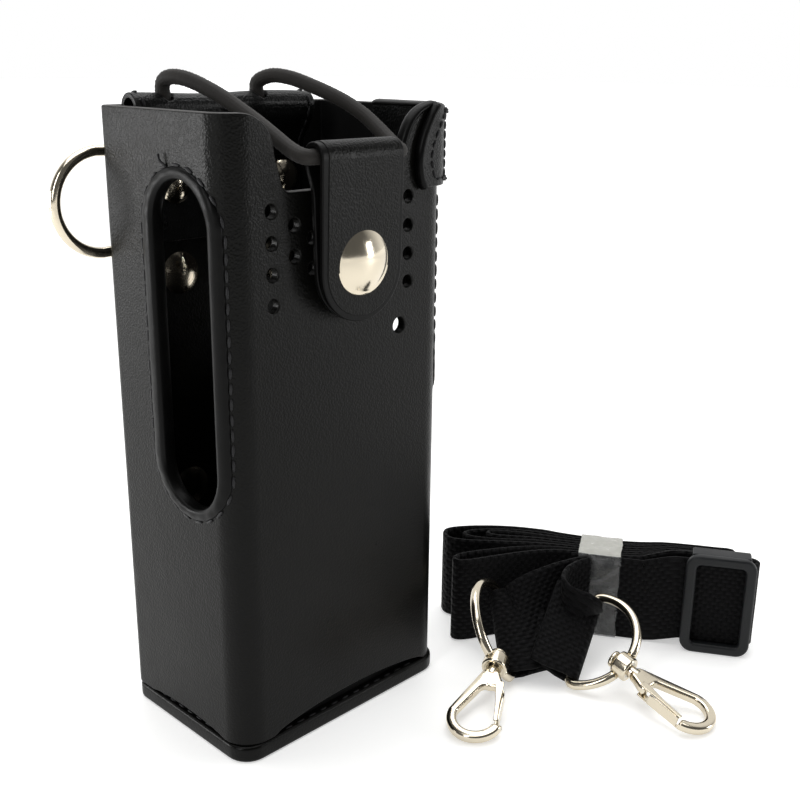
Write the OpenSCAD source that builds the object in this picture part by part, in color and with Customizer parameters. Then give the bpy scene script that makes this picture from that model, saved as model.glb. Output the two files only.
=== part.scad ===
// Hard leather carrying case for a handheld two-way radio, with an elastic cord and
// press-stud closure, a belt loop and two D rings on the back, and its own webbing
// shoulder strap folded and taped beside it.
// Origin: centre of the underside of the base. +Z up, front of the case towards -Y.

/* [Case body] */
// Outside width of the leather wrap, left to right
case_w = 67; // [65:1:70]
// Outside depth of the leather wrap, front to back
case_d = 46; // [45:0.5:48]
// Height of the case above the surface that it stands on
case_h = 150; // [148:1:154]
// Thickness of the body leather
leather_t = 2.4; // [2:0.1:2.6]
// Outside radius of the two front corners
front_r = 7; // [5:0.5:9]
// Outside radius of the two rear corners
rear_r = 3; // [3:0.5:5]

/* [Base] */
// How far the base plate stands proud of the wrap on every side
base_lip = 0.3; // [0.1:0.1:1]
// Thickness of the base plate
base_t = 4.2; // [3.5:0.1:5]
// Height of the shallow arch in the lower edge of the front wall
arch_h = 3.4; // [1:0.1:4]

/* [Mouth and windows] */
// Depth of the notch in the top of the front wall
notch_depth = 16.4; // [12:0.1:18]
// Width across the bottom of the notch
notch_w = 34; // [30:1:36]
// Width of the two side windows
window_w = 20; // [16:1:22]
// Diameter of the speaker perforations
perf_d = 3; // [2:0.1:3.4]

/* [Closure] */
// Width of the folded leather tongue
tongue_w = 24; // [20:1:26]
// Thickness of one layer of the tongue
tongue_t = 1.2; // [1:0.1:1.4]
// Diameter of the elastic cord
cord_d = 3.3; // [2.6:0.1:3.6]
// Diameter of the domed cap of the press stud
cap_d = 16; // [12:0.5:18]

/* [Strap] */
// Width of the strap webbing
web_w = 25; // [20:1:25]
// Thickness of the strap webbing
web_t = 1.5; // [1.2:0.1:1.6]
// Wire diameter of the D rings and hook rings
ring_wire = 2.6; // [2:0.1:3]

/* [Hidden] */

eps = 0.01;
half_w = case_w / 2;
half_d = case_d / 2;
base_w = case_w + 2 * base_lip;
base_d = case_d + 2 * base_lip;
welt_t = 2;

// The wrap turns in behind the back panel by this much past each rear corner
return_w = 9;
panel_half = half_w - return_w;

// Side windows: centre in Y, lower and upper ends
window_y = -7.1;
ptt_low = 62;
ptt_high = 136;
side_low = 74;
side_high = 101;
rim_w = 3.4;
rim_t = 0.7;

// Snap and tongue
snap_x = 0;
snap_z = 118;
fold_z = 140.8;
stud_hole_r = 2;
stud_flange_t = 0.6;
socket_t = 1.4;
tongue_back_y = -half_d - stud_flange_t - 0.3 - socket_t;
fold_y = tongue_back_y - tongue_t;
fold_bore = cord_d / 2 + 0.3;

// Anchor panel inside the back wall, with the roll that the elastic passes through
roll_r = 3.2;
roll_y = 15.8;
roll_z = case_h - 0.6;
roll_left = -29.6;
roll_right = 22;
rivet_x = 16.5;
rivet_z = 131.5;
rivet_r = 1.5;
loop_rivet_x = 15;
loop_rivet_z = [54, 110];

// D rings on the back: bar position, and the D's own half height and reach
bar_x = 24.7;
bar_y = half_d + 2.9;
bar_z = 128;
ring_half = 11.7;
ring_reach = 19.2;
wire_r = ring_wire / 2;

// Route of the elastic from the left hole of the roll, through the tongue's fold,
// to the right hole
cord_route = [[-20.5, 15.8, 154.6], [-20.2, 13.4, 156], [-19, 9.5, 155.8],
    [-17.2, 5, 154.2], [-15.4, 0, 151.8], [-14.3, -5, 149.2], [-13.9, -10, 146.9],
    [-13.9, -15, 144.6], [-14, -19.8, 142.4], [-14.2, -23.6, 141.2],
    [-13.8, -25.8, 140.8], [-12, -26.5, 140.8], [-8, -26.5, 140.8],
    [-3, -26.5, 140.8], [3, -26.5, 140.8], [8, -26.5, 140.8], [12, -26.5, 140.8],
    [13.8, -25.8, 140.8], [15, -23.6, 141.2], [16.3, -19.8, 142.6],
    [17.2, -15, 145], [17.3, -10, 147.8], [16.4, -5, 150.4], [14.7, 0, 152.6],
    [12.6, 4.5, 154.4], [10.4, 8.5, 155.8], [8.2, 12.6, 156.2], [6.4, 15.8, 154.6]];

// Strap bundle: its own frame has X along the folds, away from the case, and Y towards
// the case's front left
bundle_at = [80, -43, 0];
bundle_turn = -58.9;
tape_half = 6;
tape_t = 0.3;
run_y = 1.2;
run_z = 2.5;
slider_w = 19;
slider_h = 30;
slider_x = 33.5;
slider_bar = 2.4;

// Swivel hooks: the turns that lay each hook down from its collar to the ground
hook_a_turn = [0, 13.9, -155];
hook_b_turn = [180, 14.4, -88.7];
hook_len = 27;
collar_r = 3.4;
post_r = 1.5;
frame_t = 2.6;
gate_u = 8.2;
gate_v = 3.4;
gate_pin_r = 0.5;

// Hook rings: middle of the bar, direction of the bar, direction out to the arc
ring_a_at = [47.5, -35, 9];
ring_a_bar = [0.53, 0.65, 0.55];
ring_a_out = [-0.75, 0.04, 0.66];
ring_b_at = [60, -52, 9];
ring_b_bar = [0.8, 0.27, 0.54];
ring_b_out = [0.2, -0.96, 0.17];
hook_ring_half = 13.8;
hook_ring_reach = 15.6;
// The webbing meets each ring's bar from the side opposite to these directions
web_a_away = [-0.7, 0.7, -0.14];
web_b_away = [-0.22, -0.7, 0.68];
// How far round each arc the collar sits, from the middle of the arc
collar_a_angle = -62;
collar_b_angle = -27;
hook_a_at = on_arc(ring_a_at, ring_a_bar, ring_a_out, collar_a_angle);
hook_b_at = on_arc(ring_b_at, ring_b_bar, ring_b_out, collar_b_angle);

leather = [0.05, 0.05, 0.055];
nickel = [0.78, 0.74, 0.68];
web_black = [0.04, 0.04, 0.04];

// ---- shapes shared by several parts ----

function arc(cx, cy, r, from, to, n) =
    [for (i = [0:n]) let (a = from + (to - from) * i / n) [cx + r * cos(a), cy + r * sin(a)]];

// Plan outline with its own radius for the front (-Y) and rear corners
function plan(w, d, rf, rr, n = 8) = concat(
    arc(w / 2 - rf, -d / 2 + rf, rf, -90, 0, n),
    arc(w / 2 - rr, d / 2 - rr, rr, 0, 90, n),
    arc(-w / 2 + rr, d / 2 - rr, rr, 90, 180, n),
    arc(-w / 2 + rf, -d / 2 + rf, rf, 180, 270, n));

// Upright slot outline with round ends, grown by g all round
function slot(cx, z0, z1, w, g, n = 14) = let (r = w / 2) concat(
    arc(cx, z1 - r, r + g, 0, 180, n),
    arc(cx, z0 + r, r + g, 180, 360, n));

// Outline round a small circle at u0 and a larger one at u1, as a belt lies on them
function teardrop(u0, r0, u1, r1, n = 12) = let (a = 90 + asin((r1 - r0) / (u1 - u0))) concat(
    arc(u1, 0, r1, -a, a, n),
    arc(u0, 0, r0, a, 360 - a, n));

function unit(v) = v / norm(v);

// The part of v that is square to the unit vector along, made unit length
function square_to(v, along) = unit(v - (v * along) * along);

// Point on a hook ring's arc, at an angle from its middle
function on_arc(at, bar, out, angle) = let (z = unit(bar), x = square_to(out, z))
    at + hook_ring_half * sin(angle) * z
    + (hook_ring_reach - hook_ring_half * (1 - cos(angle))) * x;

// Closed tube swept along a list of points
module tube(route, r, sides = 8) {
    last = len(route) - 1;
    dirs = [for (i = [0:last]) unit(route[min(i + 1, last)] - route[max(i - 1, 0)])];
    rings = [for (i = [0:last])
        let (side = unit(cross(dirs[i], [0.31, 0.22, 0.92])), up = cross(side, dirs[i]))
        for (k = [0:sides - 1])
            let (a = 360 * k / sides) route[i] + r * (cos(a) * side + sin(a) * up)];
    walls = [for (i = [0:last - 1]) for (k = [0:sides - 1]) for (t = [0, 1])
        let (a = i * sides + k, b = i * sides + (k + 1) % sides)
        t == 0 ? [a, b, a + sides] : [b, b + sides, a + sides]];
    caps = [[for (k = [0:sides - 1]) sides - 1 - k], [for (k = [0:sides - 1]) last * sides + k]];
    polyhedron(rings, concat(walls, caps), convexity = 6);
}

// Prism on an outline drawn in X and Z, from y0 to y1
module prism_y(points, y0, y1) {
    translate([0, y1, 0]) rotate([90, 0, 0]) linear_extrude(y1 - y0) polygon(points);
}

// Prism on an outline drawn in Y and Z, from x0 to x1
module prism_x(points, x0, x1) {
    translate([x0, 0, 0]) rotate([90, 0, 90]) linear_extrude(x1 - x0) polygon(points);
}

// Round bar along Y
module rod_y(x, z, r, y0, y1) {
    translate([x, y1, z]) rotate([90, 0, 0]) cylinder(r = r, h = y1 - y0, $fn = 40);
}

// Low dome whose flat side lies at the origin, rising along +Z
module dome(r, h) {
    ball = (r * r + h * h) / (2 * h);
    rotate_extrude($fn = 64) polygon(concat([[0, 0], [r, 0]],
        [for (i = [0:8]) let (a = asin(r / ball) * (1 - i / 8)) [ball * sin(a), h - ball * (1 - cos(a))]]));
}

// Wire D: bar along Z through the origin, arc reaching out along +X
module wire_d(half, reach, r) {
    arc_x = reach - half;
    translate([0, 0, -half]) cylinder(r = r, h = 2 * half, $fn = 24);
    for (s = [-1, 1]) {
        translate([0, 0, s * half]) sphere(r = r, $fn = 24);
        translate([0, 0, s * half]) rotate([0, 90, 0]) cylinder(r = r, h = arc_x + eps, $fn = 24);
    }
    translate([arc_x, 0, 0]) rotate([90, 0, 0])
        rotate([0, 0, -90]) rotate_extrude(angle = 180, $fn = 48)
            translate([half, 0]) circle(r = r, $fn = 24);
}

// Places its children so that +Z lies along bar and +X along out
module on_axes(at, bar, out) {
    z = unit(bar);
    x = square_to(out, z);
    y = cross(z, x);
    multmatrix([[x[0], y[0], z[0], at[0]], [x[1], y[1], z[1], at[1]],
        [x[2], y[2], z[2], at[2]], [0, 0, 0, 1]]) children();
}

// ---- case ----

// Middle of the notch and of the perforations
front_x = -1;
notch_half = notch_w / 2;
notch_z = case_h - notch_depth;
shoulder_r = 8.5;
notch_points = concat(
    [[front_x - notch_half - 10.5, case_h + 5]],
    arc(front_x - notch_half - 10.5, case_h - shoulder_r, shoulder_r, 90, 0, 8),
    arc(front_x - notch_half + 2, notch_z + 2.4, 2.4, 180, 270, 5),
    arc(front_x + notch_half - 2, notch_z + 2.4, 2.4, 270, 360, 5),
    arc(front_x + notch_half + 10.5, case_h - shoulder_r, shoulder_r, 180, 90, 8),
    [[front_x + notch_half + 10.5, case_h + 5]]);

// Staggered columns of perforations: [x, lowest z, count]; the pitch is the same in each
perf_pitch = 6.7;
perf_columns = [[20.4, 109.8, 4], [14.2, 119.8, 2], [9.2, 116.6, 2]];

module perforations() {
    for (c = perf_columns, s = [-1, 1], i = [0:c[2] - 1])
        rod_y(front_x + s * c[0], c[1] + i * perf_pitch, perf_d / 2, -half_d - 2, -half_d + 5);
    rod_y(front_x + 17.7, 99.5, 1.9, -half_d - 2, -half_d + 5);
}

module case_wrap() {
    color(leather) difference() {
        translate([0, 0, base_t]) linear_extrude(case_h - base_t) difference() {
            polygon(plan(case_w, case_d, front_r, rear_r));
            polygon(plan(case_w - 2 * leather_t, case_d - 2 * leather_t,
                front_r - leather_t, max(rear_r - leather_t, 0.6)));
            translate([-panel_half, half_d - leather_t - 1]) square([2 * panel_half, leather_t + 2]);
        }
        prism_y(notch_points, -half_d - 1, -half_d + 12);
        prism_x(slot(window_y, ptt_low, ptt_high, window_w, 0.9), -half_w - 1, -half_w + 6);
        prism_x(slot(window_y, side_low, side_high, window_w, 0.9), half_w - 6, half_w + 1);
        perforations();
        rod_y(snap_x, snap_z, stud_hole_r, -half_d - 2, -half_d + 5);
        front_arch();
        side_arch();
    }
}

// Shallow arches that lift the lower edge off the base between the corners
module front_arch() {
    span = case_w - 12;
    prism_y([for (i = [0:12]) let (t = i / 12)
        [span * (t - 0.5) + 2, base_t - 1 + (1 + arch_h) * pow(sin(180 * t), 0.6)]],
        -half_d - 1, -half_d + 6);
}

module side_arch() {
    span = case_d - 14;
    prism_x([for (i = [0:10]) let (t = i / 10)
        [span * (t - 0.5), base_t - 1 + 2.4 * pow(sin(180 * t), 0.6)]], -half_w - 1, half_w + 1);
}

module back_panel() {
    color(leather) difference() {
        translate([-panel_half, half_d - leather_t, base_t])
            cube([2 * panel_half, leather_t, case_h - base_t]);
        for (s = [-1, 1]) {
            rod_y(s * rivet_x, rivet_z, rivet_r, half_d - 6, half_d + 2);
            for (z = loop_rivet_z)
                rod_y(s * loop_rivet_x, z, rivet_r, half_d - 6, half_d + 2);
        }
    }
}

module base_plate() {
    color(leather) linear_extrude(base_t) polygon(plan(base_w, base_d, 6, 4.5));
}

// Turned-in lower edge of the wrap, sewn down to the base all round
module bottom_welt() {
    inner_w = case_w - 2 * leather_t;
    inner_d = case_d - 2 * leather_t;
    color(leather) translate([0, 0, base_t]) linear_extrude(welt_t) difference() {
        polygon(plan(inner_w, inner_d, front_r - leather_t, max(rear_r - leather_t, 0.6)));
        polygon(plan(inner_w - 14, inner_d - 14, 3, 3));
    }
}

module base_insert() {
    color([0.1, 0.09, 0.08]) translate([0, 0, base_t + welt_t]) linear_extrude(1.8)
        polygon(plan(case_w - 2 * leather_t - 0.6, case_d - 2 * leather_t - 0.6, front_r - leather_t, 1.6));
}

// Smooth leather binding rolled round the edge of a side window: a rim outside the
// wall, a rim inside it, and a strip through the cut edge, all following the wall
module window_binding(side, z0, z1) {
    reach = 7;
    x0 = side < 0 ? -half_w - 1 : half_w - reach;
    wall_r = front_r - leather_t;
    color([0.07, 0.07, 0.075]) difference() {
        intersection() {
            linear_extrude(case_h) difference() {
                polygon(plan(case_w + 2 * rim_t, case_d + 2 * rim_t, front_r + rim_t, rear_r));
                polygon(plan(case_w - 2 * leather_t - 2 * rim_t, case_d - 2 * leather_t - 2 * rim_t,
                    wall_r - rim_t, rear_r - leather_t));
            }
            prism_x(slot(window_y, z0, z1, window_w, rim_w), x0, x0 + reach + 1);
        }
        prism_x(slot(window_y, z0, z1, window_w, 0), x0 - 1, x0 + reach + 3);
        difference() {
            linear_extrude(case_h) difference() {
                polygon(plan(case_w, case_d, front_r, rear_r));
                polygon(plan(case_w - 2 * leather_t, case_d - 2 * leather_t, wall_r, rear_r - leather_t));
            }
            prism_x(slot(window_y, z0, z1, window_w, 0.9), x0 - 1, x0 + reach + 3);
        }
    }
}

module ptt_window_binding() {
    window_binding(-1, ptt_low, ptt_high);
}

module side_window_binding() {
    window_binding(1, side_low, side_high);
}

// Box-stitched strip that reinforces the right front corner of the mouth
module corner_tab() {
    tab_t = 2;
    low = 131.5;
    high = case_h + 0.4;
    cx = half_w - front_r;
    cy = -half_d + front_r;
    color(leather) translate([0, 0, low]) linear_extrude(high - low) polygon(concat(
        [[22.5, -half_d], [22.5, -half_d - tab_t]],
        arc(cx, cy, front_r + tab_t, -90, 0, 8), [[half_w + tab_t, 0], [half_w, 0]],
        arc(cx, cy, front_r, 0, -90, 8)));
}

// Strip inside the back wall; its top is rolled round the elastic
module anchor_panel() {
    plate_y = half_d - leather_t - 2.1;
    length = roll_right - roll_left;
    color(leather) difference() {
        union() {
            translate([roll_left, plate_y, 118]) cube([length, 1.8, roll_z - 118]);
            translate([roll_left, roll_y, roll_z]) rotate([0, 90, 0])
                cylinder(r = roll_r, h = length, $fn = 48);
        }
        translate([roll_left - 1, roll_y, roll_z]) rotate([0, 90, 0])
            cylinder(r = cord_d / 2 + 0.1, h = length + 2, $fn = 32);
        for (x = [cord_route[0][0], cord_route[len(cord_route) - 1][0]])
            translate([x, roll_y, roll_z]) cylinder(r = cord_d / 2 + 0.1, h = 6, $fn = 32);
        for (s = [-1, 1]) rod_y(s * rivet_x, rivet_z, rivet_r, 10, 30);
    }
}

// Rivets through the anchor panel, the back wall and the D ring tabs
module panel_rivets() {
    head_y = half_d - leather_t - 2.1;
    tab_out = half_d + 3.4;
    color(nickel) for (s = [-1, 1]) {
        rod_y(s * rivet_x, rivet_z, rivet_r, head_y, tab_out);
        translate([s * rivet_x, head_y, rivet_z]) rotate([90, 0, 0]) dome(4.4, 1.7);
        translate([s * rivet_x, tab_out, rivet_z]) rotate([-90, 0, 0]) dome(4.4, 1.5);
    }
}

// The elastic's hidden run inside the roll, and its two short rises out of the holes
module cord_in_roll() {
    x0 = cord_route[0][0];
    x1 = cord_route[len(cord_route) - 1][0];
    r = cord_d / 2;
    color(web_black) {
        translate([x0 - 1, roll_y, roll_z]) rotate([0, 90, 0]) cylinder(r = r, h = x1 - x0 + 2, $fn = 24);
        for (x = [x0, x1])
            translate([x, roll_y, roll_z]) cylinder(r = r, h = roll_r + 0.2, $fn = 24);
    }
}

// Belt loop: a strap riveted flat at both ends that stands off the back between them
module belt_loop() {
    t = 2.4;
    gap = 6;
    y0 = half_d;
    color(leather) difference() {
        prism_x([[y0, 47], [y0 + t, 47], [y0 + t, 60], [y0 + t + gap, 66], [y0 + t + gap, 98],
            [y0 + t, 104], [y0 + t, 117], [y0, 117], [y0, 103], [y0 + gap, 97],
            [y0 + gap, 67], [y0, 61]], -22, 22);
        for (s = [-1, 1], z = loop_rivet_z)
            rod_y(s * loop_rivet_x, z, rivet_r, half_d - 2, half_d + 10);
    }
}

module belt_loop_rivets() {
    color(nickel) for (s = [-1, 1], z = loop_rivet_z) {
        rod_y(s * loop_rivet_x, z, rivet_r, half_d - leather_t, half_d + 2.4);
        translate([s * loop_rivet_x, half_d - leather_t, z]) rotate([90, 0, 0]) dome(5.2, 1.1);
        translate([s * loop_rivet_x, half_d + 2.4, z]) rotate([-90, 0, 0]) dome(4.4, 1.5);
    }
}

// Leather tab folded round the bar of a D ring and riveted to the back wall
module d_ring_tab(s) {
    tall = 17;
    grip_r = bar_y - half_d - 0.2;
    inner_x = 8;
    color(leather) difference() {
        union() {
            translate([s > 0 ? inner_x : -bar_x, half_d, bar_z - tall / 2])
                cube([bar_x - inner_x, 3.4, tall]);
            translate([s * bar_x, bar_y, bar_z - tall / 2]) cylinder(r = grip_r, h = tall, $fn = 48);
        }
        translate([s * bar_x, bar_y, bar_z - tall]) cylinder(r = wire_r + 0.05, h = 2 * tall, $fn = 32);
        rod_y(s * rivet_x, rivet_z, rivet_r, half_d - 2, half_d + 8);
    }
}

module d_ring_tab_left() {
    d_ring_tab(-1);
}

module d_ring_tab_right() {
    d_ring_tab(1);
}

// Male half of the press stud: flange inside, post, flange outside and head
module snap_stud() {
    in_y = -half_d + leather_t;
    color(nickel) union() {
        rod_y(snap_x, snap_z, 5.5, in_y, in_y + 0.8);
        rod_y(snap_x, snap_z, stud_hole_r, -half_d - stud_flange_t, in_y + 0.4);
        rod_y(snap_x, snap_z, 5, -half_d - stud_flange_t, -half_d);
        rod_y(snap_x, snap_z, 2.2, -half_d - stud_flange_t - 1.3, -half_d - 0.2);
        rod_y(snap_x, snap_z, 2.5, -half_d - stud_flange_t - 1.1, -half_d - stud_flange_t - 0.5);
    }
}

// ---- cord and tongue ----

module elastic_cord() {
    color(web_black) tube(cord_route, cord_d / 2);
}

module tongue_leather() {
    half = tongue_w / 2;
    round_z = 104 + half;
    front_y = tongue_back_y - 2 * tongue_t;
    color(leather) difference() {
        union() {
            prism_y(concat([[snap_x + half, fold_z], [snap_x - half, fold_z]],
                arc(snap_x, round_z, half, 180, 360, 20)), front_y, tongue_back_y);
            translate([snap_x - half, fold_y, fold_z]) rotate([0, 90, 0])
                cylinder(r = fold_bore + tongue_t, h = tongue_w, $fn = 48);
        }
        translate([snap_x - half - 1, fold_y, fold_z]) rotate([0, 90, 0])
            cylinder(r = fold_bore, h = tongue_w + 2, $fn = 40);
        rod_y(snap_x, snap_z, 1.6, front_y - 1, tongue_back_y + 1);
    }
}

module snap_cap() {
    front_y = tongue_back_y - 2 * tongue_t;
    color(nickel) union() {
        translate([snap_x, front_y, snap_z]) rotate([90, 0, 0]) dome(cap_d / 2, 2.8);
        rod_y(snap_x, snap_z, 1.6, front_y - 0.5, tongue_back_y);
    }
}

// Female half of the press stud, behind the tongue
module snap_socket() {
    color(nickel) difference() {
        rod_y(snap_x, snap_z, 5.7, tongue_back_y, tongue_back_y + socket_t);
        rod_y(snap_x, snap_z, 4.4, tongue_back_y + 0.25, tongue_back_y + socket_t + 1);
    }
}

// Wire ring that springs round the stud's head
module snap_spring() {
    color([0.6, 0.6, 0.62]) translate([snap_x, tongue_back_y + 0.75, snap_z]) rotate([90, 0, 0])
        rotate_extrude($fn = 48) translate([4.1, 0]) circle(r = 0.25, $fn = 16);
}

// ---- D rings ----

module d_ring_left() {
    color(nickel) translate([-bar_x, bar_y, bar_z]) rotate([0, 0, 180]) wire_d(ring_half, ring_reach, wire_r);
}

module d_ring_right() {
    color(nickel) translate([bar_x, bar_y, bar_z]) wire_d(ring_half, ring_reach, wire_r);
}

// ---- strap ----

module in_bundle() {
    translate(bundle_at) rotate([0, 0, bundle_turn]) mirror([0, 1, 0]) children();
}

// Closed outer shape of the folded webbing, pinched where the tape holds it
module strap_bundle() {
    color(web_black) in_bundle() translate([0, 0, tape_t]) linear_extrude(web_w) polygon([
        [-tape_half - 1, 2.4], [-20, 4.5], [-36, 15.5], [-39.5, 16], [-40.5, 13], [-37, 7.5],
        [-44, 2.5], [-46, -2], [-45, -7], [-30, -12], [-16, -12], [-tape_half - 1, -10],
        [tape_half + 1, -10], [18, -12.5], [30, -12.5], [38.5, -11], [41.5, -8], [42.5, -4.5],
        [42, -1.6], [13, -1.6], [tape_half + 1, 0.6]]);
}

// Straight outer run of the webbing that passes through the slider
module strap_run() {
    color(web_black) in_bundle() translate([tape_half + 1.3, run_y, run_z]) cube([38, web_t, web_w]);
}

module strap_end(at, bar, out, from) {
    color(web_black) {
        on_axes(at, bar, out) difference() {
            translate([0, 0, -web_w / 2 + 0.5]) cylinder(r = wire_r + 0.4 + web_t, h = web_w - 1, $fn = 32);
            translate([0, 0, -web_w]) cylinder(r = wire_r + 0.1, h = 2 * web_w, $fn = 32);
        }
        hull() {
            on_axes(at, bar, out) translate([-wire_r - web_t - 0.2, -0.6, -web_w / 2 + 0.5])
                cube([0.4, 1.2, web_w - 1]);
            in_bundle() translate(from) cube([1, 1.2, web_w - 1]);
        }
    }
}

module strap_end_a() {
    strap_end(ring_a_at, ring_a_bar, web_a_away, [-tape_half - 4, 3, 0.8]);
}

module strap_end_b() {
    strap_end(ring_b_at, ring_b_bar, web_b_away, [-tape_half + 3, 3.2, 0.8]);
}

module bundle_tape() {
    color([0.75, 0.76, 0.76, 0.6]) in_bundle() difference() {
        translate([-tape_half, -10.6, 0]) cube([2 * tape_half, 13.6, web_w + 2 * tape_t + 0.1]);
        translate([-tape_half - 1, -10.3, tape_t]) cube([2 * tape_half + 2, 13, web_w + 0.1]);
    }
}

// Tri-glide: side bars in front of the webbing, middle bar behind it
module strap_slider() {
    y0 = run_y + web_t + 0.4;
    back = -1;
    color([0.06, 0.06, 0.065]) in_bundle() translate([slider_x, 0, 0]) {
        difference() {
            prism_y(plan(slider_w, slider_h, 3.5, 3.5) + [for (i = [0:35]) [0, slider_h / 2]],
                back, y0 + 2.2);
            translate([-slider_w / 2 + slider_bar, back - 1, slider_bar])
                cube([slider_w - 2 * slider_bar, 12, slider_h - 2 * slider_bar]);
            translate([-slider_w, back - 1, slider_bar - 0.2])
                cube([2 * slider_w, y0 - back + 1, slider_h - 2 * slider_bar + 0.4]);
        }
        translate([-1.6, back, slider_bar - 1]) cube([3.2, 1.6, slider_h - 2 * slider_bar + 2]);
    }
}

// ---- swivel hooks ----

// D-shaped wire ring, cut through where its collar sits
module hook_ring(at, bar, out, collar_at, turn) {
    color(nickel) difference() {
        on_axes(at, bar, out) wire_d(hook_ring_half, hook_ring_reach, wire_r);
        place_hook(collar_at, turn) rotate([0, 90, 0])
            translate([0, 0, -4]) cylinder(r = collar_r, h = 8, $fn = 40);
    }
}

module place_hook(at, turn) {
    translate(at) rotate([0, turn[1], turn[2]]) rotate([turn[0], 0, 0]) children();
}

// Barrel on the ring that the hook turns in
module hook_collar(at, turn) {
    color(nickel) place_hook(at, turn) rotate([0, 90, 0]) difference() {
        translate([0, 0, -2.2]) cylinder(r = collar_r, h = 4.4, $fn = 40);
        translate([0, 0, -4]) cylinder(r = post_r + 0.08, h = 8, $fn = 32);
    }
}

// Hook frame: post with its riveted head, shoulder, and the open teardrop
module hook_body(at, turn) {
    far_r = 7.3;
    inner_r = 4.8;
    color(nickel) place_hook(at, turn) {
        rotate([0, 90, 0]) {
            translate([0, 0, -3.9]) cylinder(r = post_r, h = 8, $fn = 32);
            translate([0, 0, -3.9]) cylinder(r = 2.3, h = 1.4, $fn = 32);
        }
        translate([0, 0, -frame_t / 2]) linear_extrude(frame_t) difference() {
            polygon(teardrop(5.2, 2.7, hook_len - far_r, far_r));
            polygon(teardrop(10.4, 1.3, hook_len - far_r - 0.2, inner_r));
            polygon([[gate_u - 1.6, 2], [gate_u + 2.2, 0.5], [21, 2.2], [21, 9], [gate_u - 1.6, 9]]);
        }
    }
}

// Sprung strip that closes the mouth; it turns inwards on its pin
module hook_gate(at, turn) {
    color(nickel) place_hook(at, turn) translate([0, 0, -1]) linear_extrude(2) difference() {
        polygon([[gate_u - 0.9, gate_v - 0.8], [gate_u + 0.8, gate_v - 1], [20.6, 4.7],
            [20.6, 6.4], [gate_u + 0.4, gate_v + 1.2], [gate_u - 0.9, gate_v + 0.9]]);
        translate([gate_u, gate_v]) circle(r = gate_pin_r + 0.05, $fn = 24);
    }
}

module hook_gate_pin(at, turn) {
    color(nickel) place_hook(at, turn) translate([gate_u, gate_v, -1.3])
        cylinder(r = gate_pin_r, h = 2.6, $fn = 24);
}

module hook_a_ring() {
    hook_ring(ring_a_at, ring_a_bar, ring_a_out, hook_a_at, hook_a_turn);
}

module hook_a_collar() {
    hook_collar(hook_a_at, hook_a_turn);
}

module hook_a_body() {
    hook_body(hook_a_at, hook_a_turn);
}

module hook_a_gate() {
    hook_gate(hook_a_at, hook_a_turn);
}

module hook_a_gate_pin() {
    hook_gate_pin(hook_a_at, hook_a_turn);
}

module hook_b_ring() {
    hook_ring(ring_b_at, ring_b_bar, ring_b_out, hook_b_at, hook_b_turn);
}

module hook_b_collar() {
    hook_collar(hook_b_at, hook_b_turn);
}

module hook_b_body() {
    hook_body(hook_b_at, hook_b_turn);
}

module hook_b_gate() {
    hook_gate(hook_b_at, hook_b_turn);
}

module hook_b_gate_pin() {
    hook_gate_pin(hook_b_at, hook_b_turn);
}

case_wrap();
back_panel();
base_plate();
bottom_welt();
base_insert();
ptt_window_binding();
side_window_binding();
corner_tab();
anchor_panel();
panel_rivets();
cord_in_roll();
belt_loop();
belt_loop_rivets();
d_ring_tab_left();
d_ring_tab_right();
snap_stud();
elastic_cord();
tongue_leather();
snap_cap();
snap_socket();
snap_spring();
d_ring_left();
d_ring_right();
strap_bundle();
strap_run();
strap_end_a();
strap_end_b();
bundle_tape();
strap_slider();
hook_a_ring();
hook_a_collar();
hook_a_body();
hook_a_gate();
hook_a_gate_pin();
hook_b_ring();
hook_b_collar();
hook_b_body();
hook_b_gate();
hook_b_gate_pin();
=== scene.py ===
"""Looks of the leather radio case: leather, elastic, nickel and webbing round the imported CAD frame."""
import bisect
import math
import random

import bmesh
import bpy
from mathutils import Matrix, Vector, noise


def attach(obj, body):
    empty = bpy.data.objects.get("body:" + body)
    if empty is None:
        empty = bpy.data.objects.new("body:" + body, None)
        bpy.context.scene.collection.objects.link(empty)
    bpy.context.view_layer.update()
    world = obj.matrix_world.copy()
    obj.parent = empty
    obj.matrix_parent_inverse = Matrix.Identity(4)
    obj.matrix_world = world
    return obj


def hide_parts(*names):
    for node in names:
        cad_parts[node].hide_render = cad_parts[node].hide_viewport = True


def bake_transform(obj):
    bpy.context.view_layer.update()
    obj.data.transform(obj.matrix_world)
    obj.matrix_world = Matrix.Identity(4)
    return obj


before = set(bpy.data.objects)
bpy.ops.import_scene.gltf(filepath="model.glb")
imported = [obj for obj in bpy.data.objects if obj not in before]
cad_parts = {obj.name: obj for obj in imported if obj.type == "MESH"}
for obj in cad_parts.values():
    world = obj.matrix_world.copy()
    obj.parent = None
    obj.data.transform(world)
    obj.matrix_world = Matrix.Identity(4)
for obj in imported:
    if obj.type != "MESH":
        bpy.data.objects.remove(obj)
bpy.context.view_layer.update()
MM = 0.001
random.seed(7)

# ---------------- driving sizes, in millimetres

HALF_W, HALF_D, CASE_H = 33.5, 23.0, 150.0
WALL_T, BELT_T, STRIP_T = 2.4, 2.4, 1.35
FRONT_R, REAR_R = 7.0, 3.0
BASE_T = 4.2
CORD_R = 1.65
FRONT_X = -1.0
TONGUE_X, FOLD_Y, FOLD_Z, FOLD_R = 0.0, -26.5, 140.8, 1.95
TONGUE_HALF, TONGUE_LOW = 12.0, 104.0
SNAP_Z = 118.0
WEB_W, WEB_MID_Z = 25.0, 12.85
WIRE_R = 1.3
HOOK_RING_R, HOOK_RING_X, HOOK_RING_REACH = 13.8, 1.8, 15.6
BUNDLE_AT, BUNDLE_TURN = (80.0, -43.0), math.radians(-58.9)


# ---------------- camera


def new_object(name, data):
    made = bpy.data.objects.new(name, data)
    bpy.context.collection.objects.link(made)
    return made


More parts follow.
